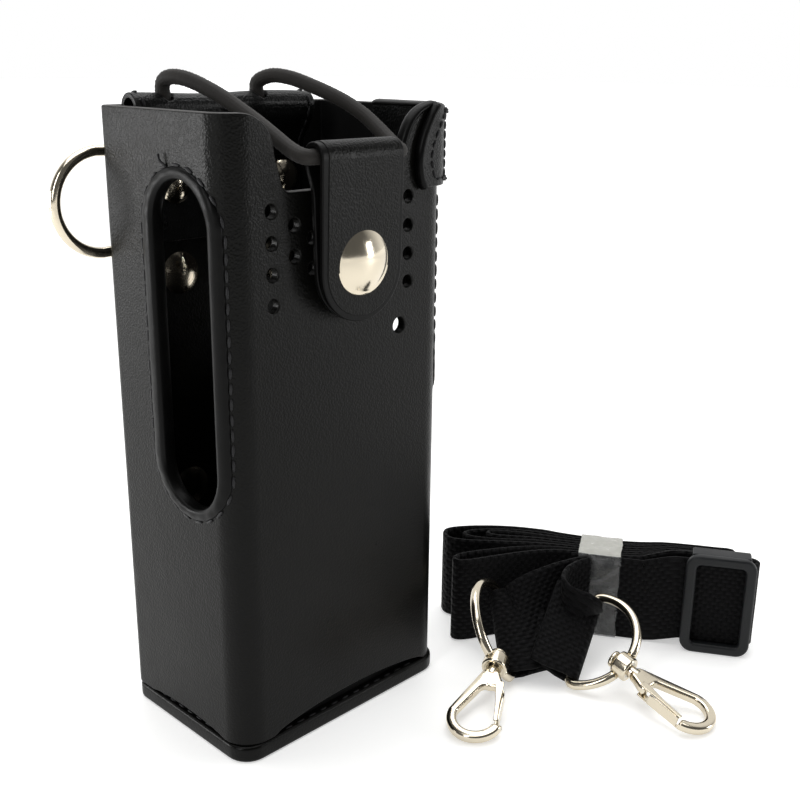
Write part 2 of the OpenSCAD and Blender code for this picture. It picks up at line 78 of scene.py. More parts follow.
def make_camera():
    """The photograph's view: the case's left front corner, from a little above."""
    azimuth, elevation, roll = math.radians(-45.52), math.radians(17.57), math.radians(0.657)
    forward = Vector((-math.sin(azimuth) * math.cos(elevation), math.cos(azimuth) * math.cos(elevation),
                      -math.sin(elevation)))
    level = forward.cross(Vector((0, 0, 1))).normalized()
    upright = level.cross(forward)
    right = level * math.cos(roll) + upright * math.sin(roll)
    up = upright * math.cos(roll) - level * math.sin(roll)
    data = bpy.data.cameras.new("camera")
    data.sensor_width = 36
    data.lens = 49.0
    data.clip_start = 0.01
    camera = new_object("camera", data)
    spot = Vector((-164.6, -201.8, 161.2)) * MM
    camera.matrix_world = Matrix.Translation(spot) @ Matrix((right, up, -forward)).transposed().to_4x4()
    bpy.context.scene.camera = camera


make_camera()


# ---------------- materials


def fill(node, values):
    """Sets a node's inputs by name."""
    for key, value in values.items():
        node.inputs[key].default_value = value


class Graph:
    """Short names for building a node tree."""

    def __init__(self, tree):
        self.tree = tree
        self.coords = self.add("ShaderNodeTexCoord")

    def add(self, kind, **values):
        made = self.tree.nodes.new(kind)
        for key, value in values.items():
            setattr(made, key, value)
        return made

    def link(self, source, target):
        self.tree.links.new(source, target)

    def noise(self, scale, detail=4.0, rough=0.55, vector=None):
        made = self.add("ShaderNodeTexNoise")
        fill(made, {"Scale": scale, "Detail": detail, "Roughness": rough})
        self.link(vector or self.coords.outputs["Object"], made.inputs["Vector"])
        return made.outputs["Fac"]

    def span(self, value, low, high, to_low, to_high):
        made = self.add("ShaderNodeMapRange")
        fill(made, {"From Min": low, "From Max": high, "To Min": to_low, "To Max": to_high})
        self.link(value, made.inputs["Value"])
        return made.outputs["Result"]

    def maths(self, kind, a, b=None):
        made = self.add("ShaderNodeMath", operation=kind)
        for socket, value in zip(made.inputs, (a, b)):
            if value is None:
                continue
            if isinstance(value, (int, float)):
                socket.default_value = value
            else:
                self.link(value, socket)
        return made.outputs[0]

    def mix_colour(self, fac, a, b):
        made = self.add("ShaderNodeMix", data_type="RGBA")
        self.link(fac, made.inputs["Factor"])
        fill(made, {"A": (*a, 1), "B": (*b, 1)})
        return made.outputs["Result"]

    def bump(self, height, distance, strength=1.0, under=None):
        made = self.add("ShaderNodeBump")
        fill(made, {"Distance": distance, "Strength": strength})
        self.link(height, made.inputs["Height"])
        if under is not None:
            self.link(under, made.inputs["Normal"])
        return made.outputs["Normal"]

    def axes(self, kind):
        """The three numbers of a texture coordinate, apart."""
        parts = self.add("ShaderNodeSeparateXYZ")
        self.link(self.coords.outputs[kind], parts.inputs[0])
        return parts.outputs


class Nodes(Graph):
    """One material's node tree, round its principled shader."""

    def __init__(self, name):
        self.material = bpy.data.materials.new(name)
        self.material.use_nodes = True
        super().__init__(self.material.node_tree)
        self.shader = self.tree.nodes["Principled BSDF"]

    def finish(self, colour, rough, normal):
        for value, name in ((colour, "Base Color"), (rough, "Roughness"), (normal, "Normal")):
            self.link(value, self.shader.inputs[name])
        return self.material


def leather_material(name, grain_mm, dark, light, rough, depth_mm, coat, specular):
    """Pebbled leather: creased cells, worn smoother towards the bottom, with uneven gloss."""
    n = Nodes(name)
    warp = n.add("ShaderNodeTexNoise")
    warp.inputs["Scale"].default_value = 900 / grain_mm
    n.link(n.coords.outputs["Object"], warp.inputs["Vector"])
    shifted = n.add("ShaderNodeVectorMath", operation="MULTIPLY_ADD")
    n.link(warp.outputs["Color"], shifted.inputs[0])
    shifted.inputs[1].default_value = (0.0006 * grain_mm,) * 3
    n.link(n.coords.outputs["Object"], shifted.inputs[2])
    cells = n.add("ShaderNodeTexVoronoi", feature="SMOOTH_F1")
    fill(cells, {"Scale": 1000 / grain_mm, "Smoothness": 0.35})
    n.link(shifted.outputs[0], cells.inputs["Vector"])
    pebble = n.span(cells.outputs["Distance"], 0.1, 0.75, 1.0, 0.0)
    fine = n.noise(5200, 3)
    worn = n.span(n.axes("Object")["Z"], 0.02, 0.13, 0.45, 1.0)
    height = n.maths("MULTIPLY", n.maths("ADD", pebble, n.maths("MULTIPLY", fine, 0.3)), worn)
    patch = n.noise(38, 3)
    streak = n.noise(240, 4)
    gloss = n.span(n.maths("ADD", n.maths("MULTIPLY", patch, 0.6), n.maths("MULTIPLY", streak, 0.4)),
                   0.3, 0.7, rough - 0.07, rough + 0.09)
    normal = n.bump(height, depth_mm * MM, 0.8)
    broad = n.bump(n.noise(90, 2), 0.0002, 0.35, normal)
    fill(n.shader, {"Coat Weight": coat, "Coat Roughness": 0.22, "Specular IOR Level": specular})
    return n.finish(n.mix_colour(patch, dark, light), gloss, broad)


def smooth_material(name, dark, light, rough, scale, depth_mm, specular=0.35):
    """Smooth skin or cast plastic: faint fine grain and uneven gloss."""
    n = Nodes(name)
    grain = n.noise(scale, 5, 0.65)
    patch = n.noise(90, 3)
    n.shader.inputs["Specular IOR Level"].default_value = specular
    return n.finish(n.mix_colour(patch, dark, light), n.span(patch, 0.3, 0.7, rough - 0.06, rough + 0.08),
                    n.bump(grain, depth_mm * MM, 0.7))


def metal_material(name, colour, rough):
    """Plated metal: warm base, fine hairlines, slight tarnish."""
    n = Nodes(name)
    n.shader.inputs["Metallic"].default_value = 1.0
    stretch = n.add("ShaderNodeMapping")
    stretch.inputs["Scale"].default_value = (1.0, 6.0, 1.0)
    n.link(n.coords.outputs["Object"], stretch.inputs["Vector"])
    hair = n.noise(900, 6, 0.7, stretch.outputs["Vector"])
    patch = n.noise(160, 3)
    tint = tuple(c * 0.9 for c in colour)
    return n.finish(n.mix_colour(patch, colour, tint), n.span(patch, 0.3, 0.7, rough * 0.7, rough * 1.35),
                    n.bump(hair, 0.00002, 0.25))


def elastic_material():
    """Matte braided sleeve; the braid itself is in the mesh."""
    n = Nodes("braided_elastic")
    fuzz = n.noise(7000, 3)
    fill(n.shader, {"Sheen Weight": 0.06, "Sheen Roughness": 0.5, "Specular IOR Level": 0.2})
    return n.finish(n.mix_colour(fuzz, (0.008, 0.007, 0.006), (0.022, 0.020, 0.018)),
                    n.span(fuzz, 0.3, 0.7, 0.55, 0.75), n.bump(fuzz, 0.00006, 0.6))


def webbing_material():
    """Coarse plain weave in the ribbon's own width and length, from its UV map; its colour darkens in the
    weave's hollows as painted shade.
    """
    n = Nodes("black_webbing")
    across, along, _ = n.axes("UV")

    def wave(value, per_mm, phase=0.0):
        return n.maths("SINE", n.maths("ADD", n.maths("MULTIPLY", value, 2 * math.pi * per_mm), phase))

    rib = n.maths("MULTIPLY", wave(across, 0.42), wave(along, 0.40))
    strand = n.maths("ABSOLUTE", wave(across, 0.42, 0.4))
    cord = n.maths("ABSOLUTE", wave(along, 0.40, 0.9))
    weave = n.maths("ADD", n.maths("MULTIPLY", rib, 0.55),
                    n.maths("ADD", n.maths("MULTIPLY", strand, 0.45), n.maths("MULTIPLY", cord, 0.35)))
    fuzz = n.noise(3800, 4)
    height = n.maths("ADD", weave, n.maths("MULTIPLY", fuzz, 0.55))
    # Painted shade: the colour follows the weave's height, darker in the hollows between strands; the fuzz in
    # the height adds random fibre tone.
    weave_shade_and_fibre_tone = n.span(height, -0.2, 1.4, 0.0, 1.0)
    fill(n.shader, {"Sheen Weight": 0.01, "Specular IOR Level": 0.07})
    return n.finish(n.mix_colour(weave_shade_and_fibre_tone, (0.0004, 0.0004, 0.0004), (0.0065, 0.0065, 0.007)),
                    n.span(fuzz, 0.3, 0.7, 0.5, 0.75), n.bump(height, 0.0004, 1.0))


def tape_material(name, alpha, dark, light):
    """Clear creased film; a lighter, more opaque copy of it on the band's top is painted highlight."""
    n = Nodes(name)
    crease = n.noise(420, 4, 0.6)
    fill(n.shader, {"Alpha": alpha, "Coat Weight": 0.6, "Coat Roughness": 0.08})
    return n.finish(n.mix_colour(crease, dark, light), n.span(crease, 0.3, 0.7, 0.08, 0.3),
                    n.bump(crease, 0.0003, 0.6))


LEATHER = leather_material("grained_leather", 0.55, (0.0012, 0.0012, 0.001), (0.003, 0.003, 0.0025),
                           0.32, 0.085, 0.035, 0.10)
SOFT_LEATHER = leather_material("soft_leather", 0.55, (0.0018, 0.002, 0.002), (0.004, 0.0043, 0.0042),
                                0.3, 0.12, 0.07, 0.13)
BINDING = smooth_material("smooth_binding", (0.0016, 0.0016, 0.0016), (0.0036, 0.0036, 0.0035),
                          0.34, 900, 0.05, 0.10)
# Cut edge colour: partly the edge's own lighter finish, partly painted highlight where the top edge faces up.
EDGE_FINISH_AND_HIGHLIGHT = smooth_material("cut_edge_finish_and_highlight", (0.018, 0.017, 0.016), (0.05, 0.048, 0.046), 0.55, 2600, 0.08)
INNER = smooth_material("inner_leather", (0.002, 0.002, 0.002), (0.004, 0.004, 0.004), 0.6, 1200, 0.08, 0.12)
BOARD = smooth_material("insert_board", (0.010, 0.009, 0.008), (0.016, 0.015, 0.013), 0.75, 2200, 0.1, 0.15)
THREAD = smooth_material("waxed_thread", (0.004, 0.004, 0.005), (0.012, 0.012, 0.013), 0.5, 3000, 0.1, 0.25)
SLIDER = smooth_material("moulded_plastic", (0.006, 0.007, 0.008), (0.010, 0.011, 0.012), 0.44, 1800,
                         0.03, 0.25)
NICKEL = metal_material("warm_nickel", (0.70, 0.63, 0.50), 0.15)
STEEL = metal_material("spring_steel", (0.55, 0.55, 0.56), 0.3)
ELASTIC = elastic_material()
WEBBING = webbing_material()
FILM = tape_material("clear_film", 0.3, (0.05, 0.05, 0.05), (0.30, 0.31, 0.31))
# Painted highlight: the lighter, more opaque film laid on the tape band's top.
TOP_FILM_PAINTED_HIGHLIGHT = tape_material("top_film_painted_highlight", 0.85, (0.33, 0.33, 0.29), (0.52, 0.52, 0.47))


# ---------------- mesh helpers


def piece(name, bm, material, body, replaces=(), weighted=True):
    """Turns a bmesh, in millimetres, into a finished object that rides a body."""
    bmesh.ops.scale(bm, vec=(MM, MM, MM), verts=bm.verts)
    bmesh.ops.recalc_face_normals(bm, faces=bm.faces)
    mesh = bpy.data.meshes.new(name)
    bm.to_mesh(mesh)
    bm.free()
    made = new_object(name, mesh)
    for one in (material if isinstance(material, (list, tuple)) else [material]):
        mesh.materials.append(one)
    mesh.shade_smooth()
    if weighted:
        even = made.modifiers.new("even_normals", "WEIGHTED_NORMAL")
        even.keep_sharp = True
        even.weight = 80
    if body:
        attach(made, body)
    if replaces:
        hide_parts(*replaces)
    return made


def apply_modifiers(made):
    """Bakes an object's modifiers into its mesh."""
    graph = bpy.context.evaluated_depsgraph_get()
    mesh = bpy.data.meshes.new_from_object(made.evaluated_get(graph))
    made.modifiers.clear()
    made.data = mesh
    return made


def arc(cx, cy, r, start, end, n=10):
    """Points round an arc, in degrees."""
    return [(cx + r * math.cos(math.radians(start + (end - start) * i / n)),
             cy + r * math.sin(math.radians(start + (end - start) * i / n))) for i in range(n + 1)]


def circle(cx, cy, r, n=24):
    return arc(cx, cy, r, 0, 360 * (n - 1) / n, n - 1)


def rounded_box(x0, y0, x1, y1, r, n=6):
    return (arc(x1 - r, y0 + r, r, -90, 0, n) + arc(x1 - r, y1 - r, r, 0, 90, n)
            + arc(x0 + r, y1 - r, r, 90, 180, n) + arc(x0 + r, y0 + r, r, 180, 270, n))


def slot_outline(cx, z0, z1, half, grow=0.0, n=16):
    return (arc(cx, z1 - half, half + grow, 0, 180, n) + arc(cx, z0 + half, half + grow, 180, 360, n))


def slot_walk(z0, z1, half, pitch):
    """Even points round a slot's outline, with the way outwards at each: ((u, v), (out_u, out_v))."""
    straight = z1 - z0 - 2 * half
    total = 2 * straight + 2 * math.pi * half
    walk = []
    for i in range(round(total / pitch)):
        d = total * i / round(total / pitch)
        if d < math.pi * half:
            a = d / half
            walk.append(((half * math.cos(a), z1 - half + half * math.sin(a)), (math.cos(a), math.sin(a))))
            continue
        d -= math.pi * half
        if d < straight:
            walk.append(((-half, z1 - half - d), (-1, 0)))
            continue
        d -= straight
        if d < math.pi * half:
            a = math.pi + d / half
            walk.append(((half * math.cos(a), z0 + half + half * math.sin(a)), (math.cos(a), math.sin(a))))
            continue
        walk.append(((half, z0 + half + d - math.pi * half), (1, 0)))
    return walk


def sheet_mesh(outline, holes, thickness, edge, bend, cuts_u=(), cuts_v=()):
    """A sheet cut to an outline with rounded edges: u, v and depth, bent into place by bend()."""
    curve = bpy.data.curves.new("cut", "CURVE")
    curve.dimensions = "2D"
    curve.fill_mode = "BOTH"
    curve.extrude = thickness / 2 - edge
    curve.bevel_depth = edge
    curve.bevel_resolution = 2
    curve.offset = -edge
    for points in [outline, *holes]:
        spline = curve.splines.new("POLY")
        spline.points.add(len(points) - 1)
        for point, (u, v) in zip(spline.points, points):
            point.co = (u, v, 0, 1)
        spline.use_cyclic_u = True
    holder = new_object("cut", curve)
    mesh = bpy.data.meshes.new_from_object(holder.evaluated_get(bpy.context.evaluated_depsgraph_get()))
    bpy.data.objects.remove(holder)
    bpy.data.curves.remove(curve)
    bm = bmesh.new()
    bm.from_mesh(mesh)
    bpy.data.meshes.remove(mesh)
    bmesh.ops.remove_doubles(bm, verts=bm.verts, dist=1e-4)
    for axis, places in ((0, cuts_u), (1, cuts_v)):
        for at in places:
            where, normal = [0, 0, 0], [0, 0, 0]
            where[axis] = at
            normal[axis] = 1
            bmesh.ops.bisect_plane(bm, geom=bm.verts[:] + bm.edges[:] + bm.faces[:], dist=1e-4,
                                   plane_co=where, plane_no=normal)
    bmesh.ops.triangulate(bm, faces=[f for f in bm.faces if len(f.verts) > 4])
    for vertex in bm.verts:
        u, v, w = vertex.co
        vertex.co = bend(u, v, thickness / 2 - w)
    return bm


def steps(low, high, pitch):
    count = max(1, round((high - low) / pitch))
    return [low + (high - low) * i / count for i in range(count + 1)]


def ease(t):
    """Rises smoothly from 0 to 1 with t, and stays there."""
    t = min(max(t, 0), 1)
    return t * t * (3 - 2 * t)


def lathe(profile, at, axis, n=64):
    """Turns (radius, height) points about an axis through at."""
    bm = bmesh.new()
    axis = Vector(axis).normalized()
    side = axis.orthogonal().normalized()
    other = axis.cross(side)
    rings = []
    for r, h in profile:
        base = Vector(at) + axis * h
        if r < 1e-6:
            rings.append([bm.verts.new(base)])
            continue
        rings.append([bm.verts.new(base + r * (math.cos(2 * math.pi * k / n) * side
                                               + math.sin(2 * math.pi * k / n) * other)) for k in range(n)])
    for a, b in zip(rings, rings[1:]):
        for k in range(n):
            if len(a) == 1 and len(b) == 1:
                continue
            if len(a) == 1:
                bm.faces.new((a[0], b[k], b[(k + 1) % n]))
            elif len(b) == 1:
                bm.faces.new((a[k], a[(k + 1) % n], b[0]))
            else:
                bm.faces.new((a[k], a[(k + 1) % n], b[(k + 1) % n], b[k]))
    return bm


def smooth_path(points, pitch, closed=False):
    """An even walk along a Catmull-Rom curve through the points."""
    points = [Vector(p) for p in points]
    last = len(points) - 1
    dense = []
    spans = range(len(points)) if closed else range(last)
    for i in spans:
        if closed:
            a, b, c, d = (points[(i + k) % len(points)] for k in (-1, 0, 1, 2))
        else:
            a, b, c, d = points[max(i - 1, 0)], points[i], points[i + 1], points[min(i + 2, last)]
        for k in range(12):
            t = k / 12
            dense.append(0.5 * (2 * b + (c - a) * t + (2 * a - 5 * b + 4 * c - d) * t * t
                                + (3 * b - a - 3 * c + d) * t ** 3))
    dense.append(points[0].copy() if closed else points[-1].copy())
    lengths = [0.0]
    for p, q in zip(dense, dense[1:]):
        lengths.append(lengths[-1] + (q - p).length)
    count = max(2, round(lengths[-1] / pitch))
    walk, j = [], 0
    for i in range(count + (0 if closed else 1)):
        want = lengths[-1] * i / count
        while j < len(lengths) - 2 and lengths[j + 1] < want:
            j += 1
        span = lengths[j + 1] - lengths[j]
        walk.append(dense[j].lerp(dense[j + 1], (want - lengths[j]) / span if span else 0))
    return walk


def path_frames(walk, hint=(0, 0, 1), closed=False):
    """Tangent, side and normal at each point of a walk, without twist."""
    count = len(walk)
    frames, side = [], None
    for i in range(count):
        if closed:
            tangent = (walk[(i + 1) % count] - walk[i - 1]).normalized()
        else:
            tangent = (walk[min(i + 1, count - 1)] - walk[max(i - 1, 0)]).normalized()
        if side is None:
            side = Vector(hint).cross(tangent)
            if side.length < 1e-4:
                side = tangent.orthogonal()
        side = (side - side.dot(tangent) * tangent).normalized()
        frames.append((tangent, side, tangent.cross(side)))
    return frames


def flat_path(points, pitch, closed=False):
    """A smooth path through points of a plane."""
    return smooth_path([(*p, 0) for p in points], pitch, closed)


def skin(bm, rings, closed=False, ends=True):
    """Faces between neighbouring rings of points; lists each with its ring's and its point's number."""
    made = []
    for i, (a, b) in enumerate(zip(rings, rings[1:] + (rings[:1] if closed else []))):
        for k in range(len(a)):
            m = (k + 1) % len(a)
            made.append((bm.faces.new((a[k], a[m], b[m], b[k])), i, k))
    if ends and not closed:
        bm.faces.new(rings[0][::-1])
        bm.faces.new(rings[-1])
    return made


def sweep(walk, section, hint=(0, 0, 1), closed=False, radius=None):
    """Carries a cross-section, a list of (side, normal) points, along a walk."""
    bm = bmesh.new()
    rings = []
    for i, (centre, (_, side, normal)) in enumerate(zip(walk, path_frames(walk, hint, closed))):
        grow = radius(i / max(1, len(walk) - 1)) if radius else 1.0
        rings.append([bm.verts.new(centre + side * a * grow + normal * b * grow) for a, b in section])
    skin(bm, rings, closed)
    return bm


def ellipse(a, b, n=16):
    return [(a * math.cos(2 * math.pi * k / n), b * math.sin(2 * math.pi * k / n)) for k in range(n)]


# ---------------- elastic cord

CORD_ROUTE = [
    (-20.5, 15.8, 154.6), (-20.2, 13.4, 156), (-19, 9.5, 155.8), (-17.2, 5, 154.2), (-15.4, 0, 151.8),
    (-14.3, -5, 149.2), (-13.9, -10, 146.9), (-13.9, -15, 144.6), (-14, -19.8, 142.4), (-14.2, -23.6, 141.2),
    (-13.8, -25.8, FOLD_Z), *((x, FOLD_Y, FOLD_Z) for x in (-12, -8, -3, 3, 8, 12)), (13.8, -25.8, FOLD_Z),
    (15, -23.6, 141.2), (16.3, -19.8, 142.6), (17.2, -15, 145), (17.3, -10, 147.8), (16.4, -5, 150.4),
    (14.7, 0, 152.6), (12.6, 4.5, 154.4), (10.4, 8.5, 155.8), (8.2, 12.6, 156.2), (6.4, 15.8, 154.6)]
CORD_START, CORD_STOP = ((x, 16.0, 151.4) for x in (-20.5, 6.4))


def braided_tube(walk, r, sides=42, lay=7.5, strands=14, depth=0.055):
    """A cord whose surface carries the over-and-under of its braid."""
    bm = bmesh.new()
    rings, run = [], 0.0
    for i, (centre, (_, side, normal)) in enumerate(zip(walk, path_frames(walk))):
        if i:
            run += (walk[i] - walk[i - 1]).length
        turn = 2 * math.pi * run / lay
        ring = []
        for k in range(sides):
            a = 2 * math.pi * k / sides
            left, right = math.sin(strands / 2 * (a + turn)), math.sin(strands / 2 * (a - turn))
            relief = depth * r * (abs(left) + abs(right) + 0.6 * left * right - 1.0)
            ring.append(bm.verts.new(centre + (r + relief) * (math.cos(a) * side + math.sin(a) * normal)))
        rings.append(ring)
    skin(bm, rings)
    return bm


def make_elastic():
    """One run of elastic from the left hole of the roll, through the tongue's fold, to the right hole."""
    walk = smooth_path([CORD_START, *CORD_ROUTE, CORD_STOP], 0.32)
    cord = piece("elastic_loop", braided_tube(walk, CORD_R), ELASTIC, None, weighted=False)
    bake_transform(cord)
    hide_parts("elastic_cord")


make_elastic()


# ---------------- leather wrap

FRONT_FLAT = HALF_W - FRONT_R
FRONT_ARC = FRONT_R * math.pi / 2
SIDE_FLAT = 2 * HALF_D - FRONT_R - REAR_R
REAR_ARC = REAR_R * math.pi / 2
RETURN = 6.0
WRAP_HALF = FRONT_FLAT + FRONT_ARC + SIDE_FLAT + REAR_ARC + RETURN
SIDE_START = FRONT_FLAT + FRONT_ARC


def wrap_point(s, z, depth):
    """Point of the wall: s runs round the outside from the middle of the front, depth goes inwards."""
    sign = 1 if s >= 0 else -1
    s = abs(s)
    crown = 0.35 * math.sin(math.pi * min(max((z - BASE_T) / (CASE_H - BASE_T), 0), 1))
    if s <= FRONT_FLAT:
        out = crown * math.cos(math.pi / 2 * s / FRONT_FLAT)
        return Vector((sign * s, -HALF_D - out + depth, z))
    s -= FRONT_FLAT
    if s <= FRONT_ARC:
        a = s / FRONT_R
        r = FRONT_R - depth
        return Vector((sign * (FRONT_FLAT + r * math.sin(a)), -HALF_D + FRONT_R - r * math.cos(a), z))
    s -= FRONT_ARC
    if s <= SIDE_FLAT:
        out = 0.35 * crown * math.sin(math.pi * s / SIDE_FLAT)
        return Vector((sign * (HALF_W + out - depth), -HALF_D + FRONT_R + s, z))
    s -= SIDE_FLAT
    if s <= REAR_ARC:
        a = s / REAR_R
        r = REAR_R - depth
        return Vector((sign * (HALF_W - REAR_R + r * math.cos(a)), HALF_D - REAR_R + r * math.sin(a), z))
    s -= REAR_ARC
    return Vector((sign * (HALF_W - REAR_R - s), HALF_D - depth, z))


def side_s(y):
    """Distance round the wrap to a point y of a side wall."""
    return SIDE_START + (y + HALF_D - FRONT_R)


NOTCH_HALF, NOTCH_Z, SHOULDER_R = 17.0, 133.6, 8.5
WINDOW_HALF = 10.0
WINDOW_S = side_s(-7.1)
PTT_LOW, PTT_HIGH = 62.0, 136.0
SIDE_LOW, SIDE_HIGH = 74.0, 101.0
PERF_R, PERF_PITCH = 1.5, 6.7
PERF_COLUMNS = [(20.4, 109.8, 4), (14.2, 119.8, 2), (9.2, 116.6, 2)]


def wrap_outline():
    """The flat-cut outline: arched lower edge, notched top."""
    arch = [(-24 + 52 * i / 24, BASE_T + 3.4 * math.sin(math.pi * i / 24) ** 0.6) for i in range(25)]
    side = [(side_s(-15) + 30 * i / 14, BASE_T + 1.4 * math.sin(math.pi * i / 14) ** 0.6) for i in range(15)]
    mirrored = [(-s, z) for s, z in reversed(side)]
    low = [(-WRAP_HALF, BASE_T), *mirrored, *arch, *side, (WRAP_HALF, BASE_T)]
    x, top = NOTCH_HALF + 10.5, CASE_H - SHOULDER_R
    notch = (arc(FRONT_X + x, top, SHOULDER_R, 90, 180, 10)
             + arc(FRONT_X + NOTCH_HALF - 2, NOTCH_Z + 2.4, 2.4, 0, -90, 6)
             + arc(FRONT_X - NOTCH_HALF + 2, NOTCH_Z + 2.4, 2.4, -90, -180, 6)
             + arc(FRONT_X - x, top, SHOULDER_R, 0, 90, 10))
    return [*low, (WRAP_HALF, CASE_H), *notch, (-WRAP_HALF, CASE_H)]


def make_wrap():
    holes = [slot_outline(-WINDOW_S, PTT_LOW, PTT_HIGH, WINDOW_HALF, 0.9),
             slot_outline(WINDOW_S, SIDE_LOW, SIDE_HIGH, WINDOW_HALF, 0.9),
             circle(FRONT_X + 17.7, 99.5, 1.9, 20), circle(TONGUE_X, SNAP_Z, 2.2, 20)]
    for x, z, count in PERF_COLUMNS:
        for sign in (-1, 1):
            holes += [circle(FRONT_X + sign * x, z + i * PERF_PITCH, PERF_R, 16) for i in range(count)]
    cuts = steps(-FRONT_FLAT, FRONT_FLAT, 5)
    side_end = SIDE_START + SIDE_FLAT
    for sign in (-1, 1):
        for low, high, pitch in ((FRONT_FLAT, SIDE_START, 1.2), (SIDE_START, side_end, 5),
                                 (side_end, WRAP_HALF - RETURN, 0.8)):
            cuts += [sign * s for s in steps(low, high, pitch)[1:]]
    bm = sheet_mesh(wrap_outline(), holes, WALL_T, 0.4, wrap_point, cuts, steps(BASE_T, CASE_H, 8)[1:-1])
    wrap = piece("case_wrap_leather", bm, [LEATHER, INNER, EDGE_FINISH_AND_HIGHLIGHT], "case", ["case_wrap"])
    paint_edges(wrap)


def paint_edges(wrap):
    """Inside faces get the plain inner side, and the up-facing cut top edge a lighter colour, partly its own
    finish and partly painted highlight.
    """
    for face in wrap.data.polygons:
        c = face.center / MM
        n = face.normal
        inside = abs(c.x) < HALF_W - WALL_T + 0.25 and -HALF_D + WALL_T - 0.3 < c.y < HALF_D - WALL_T + 0.3
        # Painted highlight, partly the edge's own finish: only up-facing faces of the top edge get the lighter
        # colour.
        if n.z > 0.55 and c.z > NOTCH_Z - 1:
            face.material_index = 2
        elif inside and abs(n.z) < 0.5 and (n.x * c.x + n.y * c.y) < 0:
            face.material_index = 1


make_wrap()


def back_point(u, v, depth):
    return Vector((u, HALF_D - depth, v))


def make_case_panels():
    holes = [circle(s * 16.5, 131.5, 1.5, 16) for s in (-1, 1)]
    holes += [circle(s * 15, z, 1.5, 16) for s in (-1, 1) for z in (54, 110)]
    bm = sheet_mesh(rounded_box(-24.48, BASE_T, 24.48, CASE_H, 0.4, 2), holes, WALL_T, 0.35, back_point)
    piece("back_panel_leather", bm, LEATHER, "case", ["back_panel"])
    base = (arc(27.8, -17.3, 6, -90, 0, 8) + arc(29.3, 18.8, 4.5, 0, 90, 8)
            + arc(-29.3, 18.8, 4.5, 90, 180, 8) + arc(-27.8, -17.3, 6, 180, 270, 8))
    bm = sheet_mesh(base, (), BASE_T, 0.9, lambda u, v, w: Vector((u, v, BASE_T - w)))
    piece("base_plate_leather", bm, LEATHER, "case", ["base_plate"])


make_case_panels()


class Strip:
    """A strip's inner line, drawn in a plane: turns a length and a thickness into a point of that plane."""

    def __init__(self, points, side=1):
        self.points = [Vector(p) for p in points]
        self.at = [0.0]
        for a, b in zip(self.points, self.points[1:]):
            self.at.append(self.at[-1] + (b - a).length)
        self.length = self.at[-1]
        last = len(self.points) - 1
        self.normals = []
        for i in range(last + 1):
            tangent = (self.points[min(i + 1, last)] - self.points[max(i - 1, 0)]).normalized()
            self.normals.append(Vector((tangent.y, -tangent.x)) * side)

    def place(self, v, w):
        v = min(max(v, 0.0), self.length - 1e-6)
        j = max(0, min(bisect.bisect_right(self.at, v) - 1, len(self.points) - 2))
        t = (v - self.at[j]) / (self.at[j + 1] - self.at[j])
        normal = self.normals[j].lerp(self.normals[j + 1], t).normalized()
        return self.points[j].lerp(self.points[j + 1], t) + normal * w


def outer_side(place, thickness):
    """The outer side of a bent sheet, as a surface to stitch on."""
    return lambda u, v, w: place(u, v, thickness - w)


def rounded_line(points, times):
    """Cuts the corners of an open line in the plane, keeping its ends."""
    for _ in range(times):
        cut = [points[0]]
        for (ax, ay), (bx, by) in zip(points, points[1:]):
            cut += [(f * ax + (1 - f) * bx, f * ay + (1 - f) * by) for f in (0.75, 0.25)]
        points = cut + [points[-1]]
    return points


def stitch_row(name, spots, length, width):
    """Threads laid as small rounded bars: each spot is (centre, direction, surface normal)."""
    bm = bmesh.new()
    for centre, along, normal in spots:
        along = Vector(along).normalized()
        normal = Vector(normal).normalized()
        across = normal.cross(along).normalized()
        turn = Matrix((along, across, normal)).transposed().to_4x4()
        tilt = Matrix.Rotation(random.uniform(-0.07, 0.07), 4, "Z")
        grow = random.uniform(0.92, 1.06)
        size = Matrix.Diagonal((length / 2 * grow, width / 2, width * 0.42, 1))
        bmesh.ops.create_uvsphere(bm, u_segments=8, v_segments=6, radius=1,
                                  matrix=Matrix.Translation(Vector(centre)) @ turn @ tilt @ size)
    piece(name, bm, THREAD, "case", weighted=False)


def row_on(place, line, pitch, lift):
    """Stitch spots along a line of (u, v) on a surface given by place(u, v, depth)."""
    walk = flat_path(line, pitch)
    spots = []
    for a, b in zip(walk, walk[1:]):
        m = (a + b) / 2
        p, q = place(a.x, a.y, -lift), place(b.x, b.y, -lift)
        normal = place(m.x, m.y, -1) - place(m.x, m.y, 0)
        spots.append((place(m.x, m.y, -lift), q - p, normal))
    return spots


# ---------------- window bindings


def rim_width(z, low, high):
    """The rolled rim is wide along the sides and narrow round the ends."""
    return 2.7 + ease((min(z - low, high - z) + 2) / 12)


